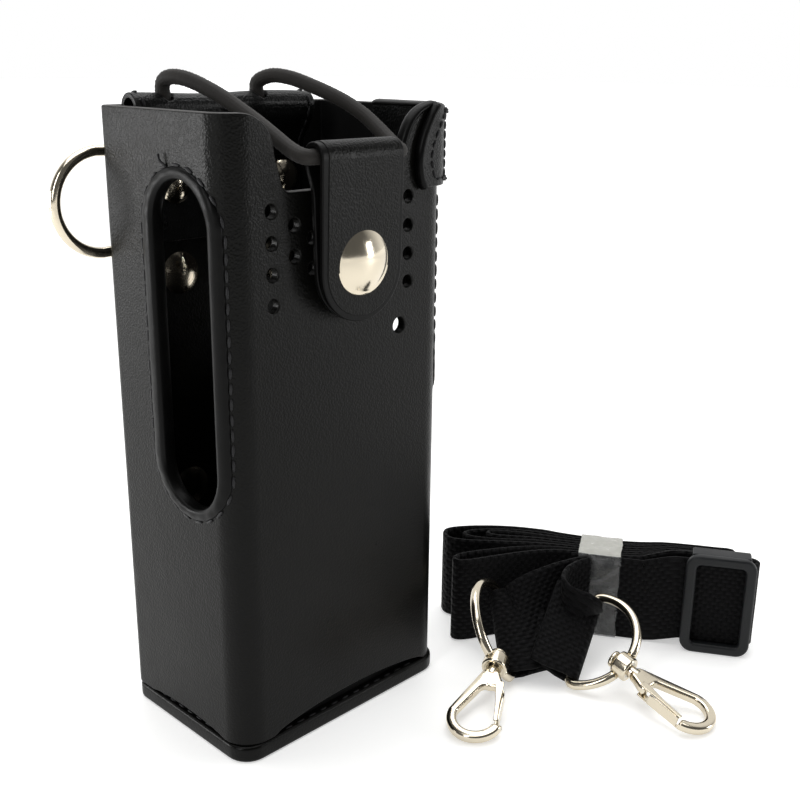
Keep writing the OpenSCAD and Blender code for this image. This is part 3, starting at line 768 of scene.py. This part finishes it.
def window_binding(name, side, low, high, node):
    """Smooth leather rolled over the cut edge, with small gathers where it turns the ends."""
    bm = bmesh.new()
    rings, line, spots = [], [], []
    for i, ((pu, pv), (ou, ov)) in enumerate(slot_walk(low, high, WINDOW_HALF, 0.8)):
        wide = rim_width(pv, low, high)
        curved = 1.0 if pv > high - WINDOW_HALF or pv < low + WINDOW_HALF else 0.2
        fold = 0.08 * curved * math.sin(i * 1.55) + 0.05 * math.sin(i * 0.43)
        section = [(wide, 0.15), (wide - 0.1, -0.3), (wide - 0.5, -0.58 - fold), (wide * 0.55, -0.72 - fold),
                   (0.95, -0.74), (0.3, -0.5), (0.0, 0.1), (0.0, WALL_T / 2), (0.0, WALL_T - 0.1),
                   (0.3, WALL_T + 0.45), (0.95, WALL_T + 0.68), (wide * 0.55, WALL_T + 0.66),
                   (wide - 0.5, WALL_T + 0.5), (wide, WALL_T - 0.1), (0.9, WALL_T - 0.05), (0.9, 0.05)]
        ring = []
        for away, depth in section:
            s, z = pu + ou * away, pv + ov * away
            ring.append(bm.verts.new(wrap_point(side * WINDOW_S + s, z, depth)))
        rings.append(ring)
    skin(bm, rings, closed=True)
    piece(name, bm, BINDING, "case", [node], weighted=False)
    for (pu, pv), (ou, ov) in slot_walk(low, high, WINDOW_HALF, 3.5):
        away = rim_width(pv, low, high) + 0.4
        line.append((side * WINDOW_S + pu + ou * away, pv + ov * away))
    for (a, b), (c, d) in zip(line, line[1:] + line[:1]):
        u, v = (a + c) / 2, (b + d) / 2
        normal = wrap_point(u, v, -1) - wrap_point(u, v, 0)
        spots.append((wrap_point(u, v, -0.12), wrap_point(c, d, 0) - wrap_point(a, b, 0), normal))
    stitch_row(name + "_stitches", spots, 2.9, 0.8)


def make_windows():
    window_binding("talk_window_binding", -1, PTT_LOW, PTT_HIGH, "ptt_window_binding")
    window_binding("right_window_binding", 1, SIDE_LOW, SIDE_HIGH, "side_window_binding")
    rows = []
    for s in (WINDOW_S - 14.1, WINDOW_S + 14.1):
        rows += row_on(wrap_point, [(s, 91.5), (s, 110), (s, 129.5)], 3.5, 0.12)
    stitch_row("right_wall_stitches", rows, 2.9, 0.8)
    tail = [wrap_point(-WINDOW_S - 3.5, 138.6, -0.2), wrap_point(-WINDOW_S - 4.6, 139.6, -0.9),
            wrap_point(-WINDOW_S - 5.0, 141.0, -1.0)]
    piece("thread_tail", sweep(smooth_path(tail, 0.4), ellipse(0.3, 0.3, 8)), THREAD, "case",
          weighted=False)


make_windows()


# ---------------- corner tab and right shoulder


def make_corner_tab():
    edge = [(23.8, 131.7), (22.5, 134), (22.0, 138.2), (23.2, 143), (25.5, 147.3), (27.6, 150.2)]
    curve = [(p.x, p.y) for p in flat_path(edge, 0.8)]
    end = side_s(0)
    outline = [*curve, (end - 1, 150.2), (end, 149.2), (end, 132.7), (end - 1, 131.7)]
    cuts = steps(26.5, SIDE_START, 1.0) + steps(SIDE_START, end, 4)[1:-1]
    bm = sheet_mesh(outline, (), 1.4, 0.35, lambda u, v, w: wrap_point(u, v, w - 1.55), cuts)
    piece("corner_tab_leather", bm, SOFT_LEATHER, "case", ["corner_tab"])
    roll = [wrap_point(u, v, -1.0) for u, v in curve]
    piece("corner_tab_rolled_edge", sweep(smooth_path(roll, 0.7), ellipse(1.25, 0.95, 14)), BINDING, "case",
          weighted=False)
    lining = [(27.6, 139), (end - 1, 139), (end, 140), (end, 150.1), (27.6, 150.1)]
    bm = sheet_mesh(lining, (), 1.2, 0.3, lambda u, v, w: wrap_point(u, v, WALL_T + 0.1 + w), cuts)
    piece("corner_tab_lining", bm, SOFT_LEATHER, "case")
    top = [wrap_point(u, 149.9, 1.2) for u in steps(27.2, end, 1.2)]
    piece("corner_tab_top", sweep(top, ellipse(2.7, 0.95, 16)), BINDING, "case",
          weighted=False)
    shoulder = [(12.3, 133.55), (14.2, 133.8), (16.0, 135.4), (16.9, 138.6), (18.1, 142.0), (20.3, 146.3),
                (23.3, 149.0), (27.2, 150.2), (30, 150.1)]
    rim = [wrap_point(u, v, 1.2) for u, v in shoulder]
    bm = sweep(smooth_path(rim, 0.7), ellipse(1.0, 1.65, 14), (0, -1, 0),
               radius=lambda t: min(1.0, 0.35 + 5 * t))
    piece("shoulder_rim", bm, BINDING, "case", weighted=False)
    rows, lift = [], 1.62
    for line, pitch in (([(27, 133.4), (25.7, 138), (26.8, 142.6), (28.8, 146.2), (31, 148.6)], 2.3),
                        ([(31.4, 133.4), (31.4, 141), (31.4, 148.8)], 2.3),
                        ([(27, 133.4), (31.4, 133.4)], 2.2),
                        ([(end - 1.6, 133.4), (end - 1.6, 141), (end - 1.6, 148.6)], 2.3)):
        rows += row_on(wrap_point, line, pitch, lift)
    stitch_row("corner_tab_stitches", rows, 2.1, 0.8)
    knots = []
    for u, v in ((31.4, 149), (31.5, 133.2)):
        for _ in range(5):
            at = wrap_point(u + random.uniform(-0.5, 0.5), v + random.uniform(-0.4, 0.4), -1.75)
            turn = random.uniform(0, 3.1)
            outward = wrap_point(u, v, -1) - wrap_point(u, v, 0)
            knots.append((at, (math.cos(turn), 0.3, math.sin(turn)), outward))
    stitch_row("corner_tab_knots", knots, 1.6, 0.9)


make_corner_tab()


# ---------------- anchor strip with its roll

ROLL_Y, ROLL_Z = 15.8, 149.4
ROLL_LEFT, ROLL_RIGHT = -29.6, 22.0


def anchor_line():
    """From the plate's foot up behind the roll, over the elastic and down again in front."""
    rise = [(18.95, 118.2), (18.95, 132), (18.95, 140), (18.8, 144), (18.2, 147.2)]
    over = arc(ROLL_Y, ROLL_Z, 1.8, 0, 190, 22)
    down = [(14.6, 146.6), (16.2, 144.2), (17.7, 142.0), (18.4, 140), (18.6, 138.4), (18.65, 136.8)]
    return rounded_line(rise, 2) + over + rounded_line(down, 2)


def make_anchor():
    strip = Strip(anchor_line())

    def place(u, v, w):
        p = strip.place(v, w)
        wave = 0.25 * math.sin(u * 0.16) * min(1, max(0, (v - 20) / 8))
        return Vector((u, p.x + wave * 0.5, p.y + wave))

    top = next(v for v in steps(0, strip.length, 0.05)
               if strip.place(v, 0).x <= ROLL_Y and strip.place(v, 0).y > 150)
    outline = rounded_box(ROLL_LEFT, 0, ROLL_RIGHT, strip.length, 1.5, 5)
    holes = [circle(x, top, 1.9, 18) for x in (CORD_ROUTE[0][0], CORD_ROUTE[-1][0])]
    bm = sheet_mesh(outline, holes, STRIP_T, 0.3, place, steps(ROLL_LEFT, ROLL_RIGHT, 4)[1:-1],
                    steps(24, strip.length, 0.5))
    piece("anchor_strip", bm, SOFT_LEATHER, "case", ["anchor_panel"])
    outside, rows = outer_side(place, STRIP_T), []
    for x in (ROLL_LEFT + 1.9, ROLL_RIGHT - 1.9):
        rows += row_on(outside, [(x, top - 1.5), (x, top + 5), (x, strip.length - 1)], 2.5, 0.1)
    rows += row_on(outside, [(x, strip.length - 1.6) for x in (ROLL_LEFT + 3, ROLL_RIGHT - 3)], 3.4, 0.1)
    stitch_row("anchor_stitches", rows, 2.4, 0.7)


make_anchor()


# ---------------- tongue and press stud


def fold_line():
    """Inner line of the doubled tongue: up the back layer, round the elastic, down the front layer."""
    def gap(z):
        return FOLD_R * ease((z - 132.5) / (FOLD_Z - 132.5))

    back = [(FOLD_Y + gap(z), z) for z in steps(TONGUE_LOW, FOLD_Z, 1.0)]
    over = arc(FOLD_Y, FOLD_Z, FOLD_R, 0, 180, 20)
    front = [(FOLD_Y - gap(z), z) for z in steps(FOLD_Z, TONGUE_LOW, 1.0)]
    return back + over[1:-1] + front


def make_tongue():
    strip = Strip(fold_line())
    slant = math.tan(math.radians(1.8))

    def place(u, v, w):
        p = strip.place(v, w)
        return Vector((TONGUE_X + u - (p.y - SNAP_Z) * slant, p.x, p.y))

    half, end = TONGUE_HALF, strip.length
    outline = arc(0, half, half, 180, 360, 24) + arc(0, end - half, half, 0, 180, 24)
    hole = circle(0, end - (SNAP_Z - TONGUE_LOW), 1.6, 12)
    bm = sheet_mesh(outline, [hole], 1.2, 0.3, place, steps(-9, 9, 4.5), steps(26, end - 26, 0.6))
    piece("tongue_body", bm, BINDING, "tongue", ["tongue_leather"])
    inset = 1.7
    start = end / 2 - 3.4
    outline = ([(-half + inset, start), (half - inset * 0.6, start)]
               + arc(0, end - half, half - inset * 0.8, 0, 180, 24))
    bm = sheet_mesh(outline, [hole], 0.4, 0.16, outer_side(place, 1.38), steps(-9, 9, 4.5),
                    steps(start, end - 26, 0.6)[1:-1])
    piece("tongue_face", bm, LEATHER, "tongue")


def make_snap():
    ball = (8 * 8 + 2.8 * 2.8) / 5.6
    dome = [(ball * math.sin(a), 2.9 - ball * (1 - math.cos(a))) for a in (0.56 * i / 14 for i in range(15))]
    profile = [*dome, (7.45, 0.62), (7.8, 0.6), (8.0, 0.4), (8.05, 0.15), (7.9, -0.05), (7.0, -0.1),
               (0, -0.1)]
    piece("press_stud_cap", lathe(profile, (TONGUE_X, FOLD_Y - 1.4, SNAP_Z), (0, -1, 0)), NICKEL, "tongue",
          ["snap_cap"], weighted=False)


make_tongue()
make_snap()


# ---------------- belt loop and back


def make_belt_loop():
    y = HALF_D
    line = rounded_line([(y, 47), (y, 60), (y + 6, 66.5), (y + 6, 97.5), (y, 104), (y, 117)], 3)
    strip = Strip(line)
    end = strip.length

    def place(u, v, w):
        p = strip.place(v, w)
        return Vector((u, p.x, p.y))

    holes = [circle(s * 15, v, 1.5, 14) for s in (-1, 1) for v in (7.0, end - 7.0)]
    bm = sheet_mesh(rounded_box(-22, 0, 22, end, 3.5, 6), holes, BELT_T, 0.5, place, (),
                    steps(8, end - 8, 1.2))
    piece("belt_loop_leather", bm, LEATHER, "case", ["belt_loop"])
    rows = []
    for x in (-19.6, 19.6):
        rows += row_on(outer_side(place, BELT_T), [(x, 3), (x, 20), (x, 52), (x, end - 3)], 4, 0.1)
    stitch_row("belt_loop_stitches", rows, 2.8, 0.75)


def make_back_seams():
    rows = []
    for x in (-26.6, 26.6):
        rows += row_on(back_point, [(x, 8), (x, 70), (x, 146)], 4, 0.1)
    stitch_row("back_seam_stitches", rows, 2.8, 0.75)
    rows = row_on(lambda u, v, w: Vector((u, v, BASE_T - w)), [(x, -22.1) for x in (-21, 2, 24)], 3.6, 0.05)
    rows += row_on(lambda u, v, w: Vector((v, u, BASE_T - w)), [(y, -32.5) for y in (-13, 0, 13)], 3.6, 0.05)
    stitch_row("sole_stitches", rows, 2.4, 0.6)


make_belt_loop()
make_back_seams()


# ---------------- D rings

BAR_X, BAR_Y, BAR_Z = 24.7, 25.9, 128.0


def ring_walk(half, reach):
    """A wire D in its own plane: bar along the second axis, arc reaching out along the first."""
    corner = [(0.35, half - 1.6), (0.9, half - 0.35)]
    right = arc(reach - half, 0, half, 88, -88, 40)
    bar = [(0, -half + 2.4), (0, -half + 3.4), (0, 0), (0, half - 3.4), (0, half - 2.4)]
    points = [*bar, *corner, *right, (0.9, -half + 0.35), (0.35, -half + 1.6)]
    return flat_path(points, 0.9, closed=True)


def make_case_rings():
    for side, name, node, body in ((-1, "left_d_ring_wire", "d_ring_left", "left_ring"),
                                   (1, "right_d_ring_wire", "d_ring_right", "right_ring")):
        walk = [Vector((side * (BAR_X + p.x), BAR_Y, BAR_Z + p.y)) for p in ring_walk(11.7, 19.2)]
        bm = sweep(walk, ellipse(WIRE_R, WIRE_R, 18), (0, 1, 0), closed=True)
        piece(name, bm, NICKEL, body, [node], weighted=False)


def make_ring_tabs():
    y = HALF_D
    line = ([(8.3, y + 1.75), (16, y + 1.75), (19.5, y + 2.1), (22.5, y + 3.9)]
            + arc(BAR_X, BAR_Y, 1.42, 98, -88, 18) + [(19, y + 1.65), (8.3, y + 1.65)])
    strip = Strip(line, side=-1)
    for side, name, node in ((-1, "left_ring_tab", "d_ring_tab_left"),
                             (1, "right_ring_tab", "d_ring_tab_right")):
        def place(u, v, w, side=side):
            p = strip.place(v, w)
            return Vector((side * p.x, p.y, BAR_Z + u))

        bm = sheet_mesh(rounded_box(-8.5, 0, 8.5, strip.length, 2, 5), (), 1.6, 0.35, place, (),
                        steps(4, strip.length - 4, 0.8))
        piece(name, bm, SOFT_LEATHER, "case", [node])


make_case_rings()
make_ring_tabs()


# ---------------- strap


def from_bundle(t, n, z):
    """The bundle's frame: t along the folds, away from the case, n towards the case's front left."""
    c, s = math.cos(BUNDLE_TURN), math.sin(BUNDLE_TURN)
    return Vector((BUNDLE_AT[0] + c * t + s * n, BUNDLE_AT[1] + s * t - c * n, z))


WEB_SECTION = [
    (-0.65, -11.9), (-0.5, -12.35), (0, -12.5), (0.5, -12.35), (0.65, -11.9), (0.6, -11.2), (0.62, -6),
    (0.64, 0), (0.62, 6), (0.6, 11.2), (0.65, 11.9), (0.5, 12.35), (0, 12.5), (-0.5, 12.35), (-0.65, 11.9),
    (-0.6, 11.2), (-0.62, 6), (-0.64, 0), (-0.62, -6), (-0.6, -11.2)]


def ribbon(name, centres, widths, replaces):
    """Webbing along centres, its width along the matching width directions, with knobbly selvages."""
    bm = bmesh.new()
    layer = bm.loops.layers.uv.new("weave")
    count, rings, runs = len(centres), [], [0.0]
    for a, b in zip(centres, centres[1:]):
        runs.append(runs[-1] + (b - a).length)
    for i, centre in enumerate(centres):
        tangent = (centres[min(i + 1, count - 1)] - centres[max(i - 1, 0)]).normalized()
        width = (widths[i] - widths[i].dot(tangent) * tangent).normalized()
        thick = tangent.cross(width)
        ring = []
        for a, b in WEB_SECTION:
            knob = 0.16 * math.sin(2 * math.pi * runs[i] / 1.6) if abs(b) > 11.5 else 0.0
            ring.append(bm.verts.new(centre + thick * a + width * (b + math.copysign(knob, b))))
        rings.append(ring)
    for face, i, k in skin(bm, rings):
        m = (k + 1) % len(WEB_SECTION)
        for loop, (u, v) in zip(face.loops, ((k, i), (m, i), (m, i + 1), (k, i + 1))):
            loop[layer].uv = (WEB_SECTION[u][1] + WEB_SECTION[u][0], runs[v])
    return piece(name, bm, WEBBING, "strap", replaces, weighted=False), runs[-1]


LEFT_FOLDS = {
    (0, 1): [(-12, 1.4), (-20, 4.4), (-29, 10), (-35.5, 14.3), (-38.8, 15.2), (-39.9, 13.4), (-37.6, 10.2),
             (-30, 5.6), (-21, 1.4), (-12, -0.5)],
    (2, 7): [(-12, -2.4), (-20, -1.7), (-30, -0.1), (-39, 1.3), (-44, 0.7), (-46, -2.6), (-44.8, -6),
             (-38, -9.2), (-28, -11.4), (-18, -11.6), (-12, -10.6)],
    (6, 3): [(-12, -9.0), (-19, -9.9), (-28, -9.4), (-36.5, -7.0), (-40.2, -4.2), (-38, -1.9), (-30, -1.9),
             (-20, -3.6), (-12, -3.9)],
    (4, 5): [(-12, -5.4), (-20, -5.4), (-28, -4.6), (-32.4, -4.6), (-33.5, -6), (-31.5, -7.4), (-23, -8.0),
             (-14, -7.4)],
}
TAPE_N = [0.5, -0.95, -2.4, -3.85, -5.3, -6.7, -8.1, -9.5]


def right_n(k, t):
    """Where layer k lies at a distance t to the right of the tape."""
    f = ease((t - 6) / 16)
    return TAPE_N[k] * (1 - f) + (-2.5 - 1.38 * k) * f


def right_fold(k, m, tip):
    out = [(t, right_n(k, t)) for t in (6, 12, 18, 26, tip - 5)]
    back = [(t, right_n(m, t)) for t in (tip - 5, 26, 18, 12, 6)]
    nk, nm = out[-1][1], back[0][1]
    turn = [(tip - 1.6, nk + 0.1 * (nk - nm)), (tip, (nk + nm) / 2), (tip - 1.6, nm - 0.1 * (nk - nm))]
    return out + turn + back


def strap_line():
    """One length of webbing: through the slider, then to and fro under the tape."""
    line = [(-8, 2.0), (0, 1.95), (8, 2.0), (16, 2.0), (24, 1.95), (33, 1.95), (39, 1.95), (42.3, 1.5),
            (43.4, -0.3), (42.2, -2.1), (39, -2.5), *((t, right_n(0, t)) for t in (33, 24, 16)), (8, 0.3)]
    for (k, m), right in (((0, 1), (1, 2, 40.8)), ((2, 7), (7, 6, 37.5)), ((6, 3), (3, 4, 39.6))):
        line += [(0, TAPE_N[k]), *LEFT_FOLDS[(k, m)], (0, TAPE_N[m]), *right_fold(*right)]
    line += [(0, TAPE_N[4]), *LEFT_FOLDS[(4, 5)], (0, TAPE_N[5])]
    return line + [(t, right_n(5, t)) for t in (12, 22, 31)]


def make_strap():
    """The folded length; its first points, the run through the slider, climb clear of the fold behind."""
    climb, run_points = 2.2, 140
    centres = []
    for i, p in enumerate(flat_path(strap_line(), 0.8)):
        rise = climb * min(max((p.x - 14) / 8, 0), 1) if i < run_points else 0.0
        centres.append(from_bundle(p.x, p.y, WEB_MID_Z + rise))
    up = Vector((0, 0, 1))
    strap, length = ribbon("folded_webbing", centres, [up] * len(centres), ["strap_bundle", "strap_run"])


def hermite(a, b, ta, tb, t):
    return (a * (2 * t ** 3 - 3 * t ** 2 + 1) + ta * (t ** 3 - 2 * t ** 2 + t)
            + b * (3 * t ** 2 - 2 * t ** 3) + tb * (t ** 3 - t ** 2))


def strap_end(key, start, leave, pull):
    """The strap's end: turns out from under the tape, round the ring's bar and back on itself."""
    at, bar, away = (Vector(RINGS[key][part]) for part in ("at", "bar", "away"))
    bar.normalize()
    away = (away - away.dot(bar) * bar).normalized()
    over = bar.cross(away)
    r = 2.05
    first, last = from_bundle(*start), at + over * r - away * 3
    reach = (last - first).length
    ta = (from_bundle(*leave) - from_bundle(0, 0, 0)).normalized() * reach
    centres, widths = [], []
    up = Vector((0, 0, 1))
    for i in range(40):
        t = i / 39
        centres.append(hermite(first, last, ta, away * reach * pull, t))
        widths.append(up.lerp(bar, ease(t)).normalized())
    for i in range(1, 15):
        a = math.pi * i / 14
        centres.append(at + away * (r * math.sin(a)) + over * (r * math.cos(a)))
        widths.append(bar)
    for back, lift in ((3, -1.9), (6, -0.6), (9, 0.35), (12, 0.62)):
        centres.append(at - away * back + over * lift)
        widths.append(bar)
    ribbon("webbing_end_" + key, centres, widths, ["strap_end_" + key])


RINGS = {
    "a": dict(at=(47.5, -35, 9), bar=(0.53, 0.65, 0.55), out=(-0.75, 0.04, 0.66),
              away=(-0.7, 0.7, -0.14), collar=-62, turn=(0, 13.9, -155)),
    "b": dict(at=(60, -52, 9), bar=(0.8, 0.27, 0.54), out=(0.2, -0.96, 0.17), away=(0.57, -0.61, -0.54),
              collar=-27, turn=(180, 14.4, -88.7)),
}


def make_tape():
    """Clear film round the middle of the bundle, crumpled over its front."""
    loop = [(2.9, 1.0), (3.0, 12), (2.9, 24.6), (1.9, 25.75), (-4, 25.8), (-9.6, 25.7), (-10.4, 24.6),
            (-10.5, 12), (-10.4, 1), (-9.4, 0.12), (-4, 0.1), (1.8, 0.12)]
    around = flat_path(loop, 0.8, closed=True)
    bm = bmesh.new()
    rows = []
    for j in range(17):
        t = -6 + 12 * j / 16
        row = []
        for i, p in enumerate(around):
            tangent = (around[(i + 1) % len(around)] - around[i - 1]).normalized()
            out = Vector((tangent.y, -tangent.x, 0))
            if out.dot(Vector((p.x + 3.7, p.y - 12.9, 0))) < 0:
                out = -out
            crumple = noise.noise(Vector((t * 0.33, p.x * 0.3, p.y * 0.3)))
            crumple += 0.5 * noise.noise(Vector((t * 0.9, p.x * 0.8, p.y * 0.8 + 9)))
            front = 1.0 if p.x > 1.5 else 0.35
            lift = max(0.0, 0.12 + 0.55 * front * crumple)
            floor_free = 0.0 if p.y < 1.0 else 1.0
            q = p + out * lift * floor_free
            row.append(bm.verts.new(from_bundle(t + 0.3 * crumple, q.x, q.y)))
        rows.append(row)
    # Painted highlight: faces along the band's top get the lighter, more opaque film.
    for face, _, i in skin(bm, rows, ends=False):
        face.material_index = 1 if around[i].y > 25.2 else 0
    made = piece("tape_band", bm, [FILM, TOP_FILM_PAINTED_HIGHLIGHT], "strap", ["bundle_tape"], weighted=False)
    thick = made.modifiers.new("film", "SOLIDIFY")
    thick.thickness = 0.00012
    thick.offset = 0
    apply_modifiers(made)


def make_slider():
    """Moulded ladder-lock: a rounded frame in front, top and bottom rails, and the bar behind the webbing."""
    opening = rounded_box(26.9, 2.9, 40.1, 27.1, 1.3, 5)[::-1]
    front_n, back_n = 3.05, -0.95
    bm = sheet_mesh(rounded_box(24.0, 0.05, 43.0, 29.95, 3.6, 8), [opening], 2.3, 0.75,
                    lambda u, v, w: from_bundle(u, front_n + w, v))
    for u0, z0, u1, z1, thickness, edge in ((25.6, 0.1, 41.4, 2.4, 4.6, 0.4),
                                            (25.6, 27.6, 41.4, 29.9, 4.6, 0.4),
                                            (31.9, 1.2, 35.1, 28.8, 1.5, 0.35)):
        merge(bm, sheet_mesh(rounded_box(u0, z0, u1, z1, 0.5, 3), (), thickness, edge,
                             lambda u, v, w: from_bundle(u, back_n + w, v)))
    piece("ladder_lock", bm, SLIDER, "slider", ["strap_slider"])


def merge(bm, other):
    """Adds another bmesh's geometry to bm."""
    mesh = bpy.data.meshes.new("part")
    other.to_mesh(mesh)
    other.free()
    bm.from_mesh(mesh)
    bpy.data.meshes.remove(mesh)


# ---------------- swivel hooks


def hook_frame(ring):
    """Centre of the collar and the hook's own axes, found as the CAD places them."""
    bar = Vector(ring["bar"]).normalized()
    out = Vector(ring["out"])
    out = (out - out.dot(bar) * bar).normalized()
    a = math.radians(ring["collar"])
    reach = HOOK_RING_REACH - HOOK_RING_R * (1 - math.cos(a))
    centre = Vector(ring["at"]) + HOOK_RING_R * math.sin(a) * bar + reach * out
    rx, ry, rz = (math.radians(v) for v in ring["turn"])
    turn = Matrix.Rotation(rz, 3, "Z") @ Matrix.Rotation(ry, 3, "Y") @ Matrix.Rotation(rx, 3, "X")
    return centre, turn.col[0].copy(), turn.col[1].copy(), turn.col[2].copy(), bar, out


def hook_outline():
    """The hook's plate: yoke, one arm, the round end and the nose."""
    return (arc(5.2, 0, 2.7, 100, 258, 12) + arc(19.7, 0, 7.3, -98, 80, 30) + [(20.9, 6.6), (20.7, 5.2)]
            + arc(19.5, 0, 4.8, 72, -100, 26) + arc(10.6, 0, 1.5, -100, -200, 8)
            + [(8.9, 1.9), (9.6, 3.4), (8.6, 4.3), (7.0, 3.9)])


def make_hook(key):
    ring = RINGS[key]
    centre, u_axis, v_axis, w_axis, bar, out = hook_frame(ring)

    def at(u, v, w):
        return centre + u_axis * u + v_axis * v + w_axis * w

    name = "hook_" + key
    bm = sheet_mesh(hook_outline(), (), 2.5, 0.8, lambda u, v, w: at(u, v, w - 1.25))
    stem = [(0, -4.0), (1.6, -4.0), (2.2, -3.7), (2.35, -3.2), (2.2, -2.6), (1.5, -2.45), (1.5, 4.4),
            (0, 4.4)]
    merge(bm, lathe(stem, centre, u_axis, 32))
    piece(name + "_frame", bm, NICKEL, name, [name + "_body"])
    barrel = [(1.6, -2.2), (3.0, -2.2), (3.3, -2.0), (3.42, -1.5), (3.42, 1.5), (3.3, 2.0), (3.0, 2.2),
              (1.6, 2.2), (1.6, -2.2)]
    bm = lathe(barrel, centre, u_axis, 40)
    bmesh.ops.remove_doubles(bm, verts=bm.verts, dist=1e-4)
    piece(name + "_barrel", bm, NICKEL, name + "_swing", [name + "_collar"])
    make_hook_ring(name, ring, bar, out)
    make_gate(name, at)


def make_hook_ring(name, ring, bar, out):
    """The D of wire, open where the barrel holds it."""
    def bow(start, stop):
        turns = [math.radians(a) for a in steps(start, stop, 4)]
        return [(HOOK_RING_X + HOOK_RING_R * math.cos(a), HOOK_RING_R * math.sin(a)) for a in turns]

    origin, mid, gap = Vector(ring["at"]), ring["collar"], 13.5
    bar_side = [(0.9, 13.45), (0.35, 12.2), (0, 10.5), (0, 0), (0, -10.5), (0.35, -12.2), (0.9, -13.45)]
    points = bow(mid + gap, 88) + bar_side + bow(-88, mid - gap)
    walk = [origin + out * p.x + bar * p.y for p in flat_path(points, 0.8)]
    bm = sweep(walk, ellipse(WIRE_R, WIRE_R, 16), tuple(out.cross(bar)))
    piece(name + "_wire_d", bm, NICKEL, name + "_swing", [name + "_ring"], weighted=False)


def make_gate(name, at):
    """Pressed gate: two narrow flanges either side of the frame, joined along their outer edge."""
    flange = [(7.4, 2.5), (9.0, 2.3), (14.5, 3.9), (20.5, 4.9), (20.5, 5.9), (14.3, 5.0), (8.9, 4.6),
              (7.5, 4.3)]
    bm = bmesh.new()
    for w0 in (-1.85, 1.35):
        merge(bm, sheet_mesh(flange, (), 0.5, 0.18, lambda u, v, w: at(u, v, w0 + w)))
    merge(bm, sheet_mesh([(11.0, -1.5), (20.2, -1.5), (20.2, 1.5), (11.0, 1.5)], (), 0.5, 0.15,
                         lambda u, v, w: at(u, 4.95 + (u - 11) * 0.09 + w - 0.1, v), (13, 15, 17, 19)))
    piece(name + "_gate_strip", bm, NICKEL, name + "_latch", [name + "_gate"])


make_strap()
strap_end("a", (-3, 3.5, WEB_MID_Z), (-1, 0.45, 0), 0.9)
strap_end("b", (-2.5, 4.3, WEB_MID_Z), (-1, 0.6, 0), 1.2)
make_tape()
make_slider()
make_hook("a")
make_hook("b")


# ---------------- finishes of the CAD parts seen as they are


def finish_cad():
    finishes = {"bottom_welt": INNER, "base_insert": BOARD, "panel_rivets": NICKEL,
                "belt_loop_rivets": NICKEL, "cord_in_roll": ELASTIC, "snap_stud": NICKEL, "snap_socket": NICKEL,
                "snap_spring": STEEL,
                "hook_a_gate_pin": NICKEL, "hook_b_gate_pin": NICKEL}
    for node, material in finishes.items():
        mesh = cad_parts[node].data
        mesh.materials.clear()
        mesh.materials.append(material)


finish_cad()


# ---------------- stage


def light(name, at, aim, size, power):
    data = bpy.data.lights.new(name, "AREA")
    data.shape = "RECTANGLE"
    data.size, data.size_y = size
    data.energy = power
    lamp = new_object(name, data)
    lamp.visible_camera = False
    at, aim = Vector(at), Vector(aim)
    lamp.matrix_world = Matrix.Translation(at) @ (aim - at).to_track_quat("-Z", "Y").to_matrix().to_4x4()


def make_floor():
    """Pale ground that brightens to the white of the background with distance."""
    bm = bmesh.new()
    bmesh.ops.create_grid(bm, x_segments=1, y_segments=1, size=6)
    mesh = bpy.data.meshes.new("floor")
    bm.to_mesh(mesh)
    bm.free()
    floor = new_object("floor", mesh)
    n = Nodes("pale_floor")
    fill(n.shader, {"Base Color": (0.78, 0.78, 0.77, 1), "Roughness": 0.6, "Emission Color": (1, 1, 1, 1)})
    distance = n.add("ShaderNodeVectorMath", operation="LENGTH")
    n.link(n.coords.outputs["Object"], distance.inputs[0])
    n.link(n.span(distance.outputs["Value"], 0.45, 1.5, 0.42, 1.0), n.shader.inputs["Emission Strength"])
    mesh.materials.append(n.material)


def make_world():
    """Light that fades towards the viewer's side; the camera itself always sees plain white."""
    world = bpy.data.worlds.new("studio")
    bpy.context.scene.world = world
    world.use_nodes = True
    g = Graph(world.node_tree)
    facing = g.add("ShaderNodeVectorMath", operation="DOT_PRODUCT")
    facing.inputs[1].default_value = (0.69, 0.67, 0.0)
    g.link(g.coords.outputs["Generated"], facing.inputs[0])
    fade = g.span(facing.outputs["Value"], 0.0, 0.55, 0.12, 1.0)
    background = g.tree.nodes["Background"]
    background.inputs["Color"].default_value = (1, 1, 1, 1)
    seen = g.add("ShaderNodeLightPath").outputs["Is Camera Ray"]
    g.link(g.maths("MAXIMUM", fade, seen), background.inputs["Strength"])


def make_stage():
    make_floor()
    make_world()
    light("top_soft", (0.05, 0.05, 0.75), (0.03, 0.0, 0.0), (0.75, 0.75), 4.8)
    light("back_left", (-0.55, 0.50, 0.14), (0, 0, 0.06), (0.34, 0.22), 2.6)
    light("front_right", (0.55, -0.62, 0.22), (0, 0, 0.05), (0.16, 0.30), 1.5)
    light("key_left", (-0.62, -0.12, 0.42), (0, 0, 0.10), (0.12, 0.5), 1.4)
    bpy.context.scene.view_settings.view_transform = "Standard"


make_stage()
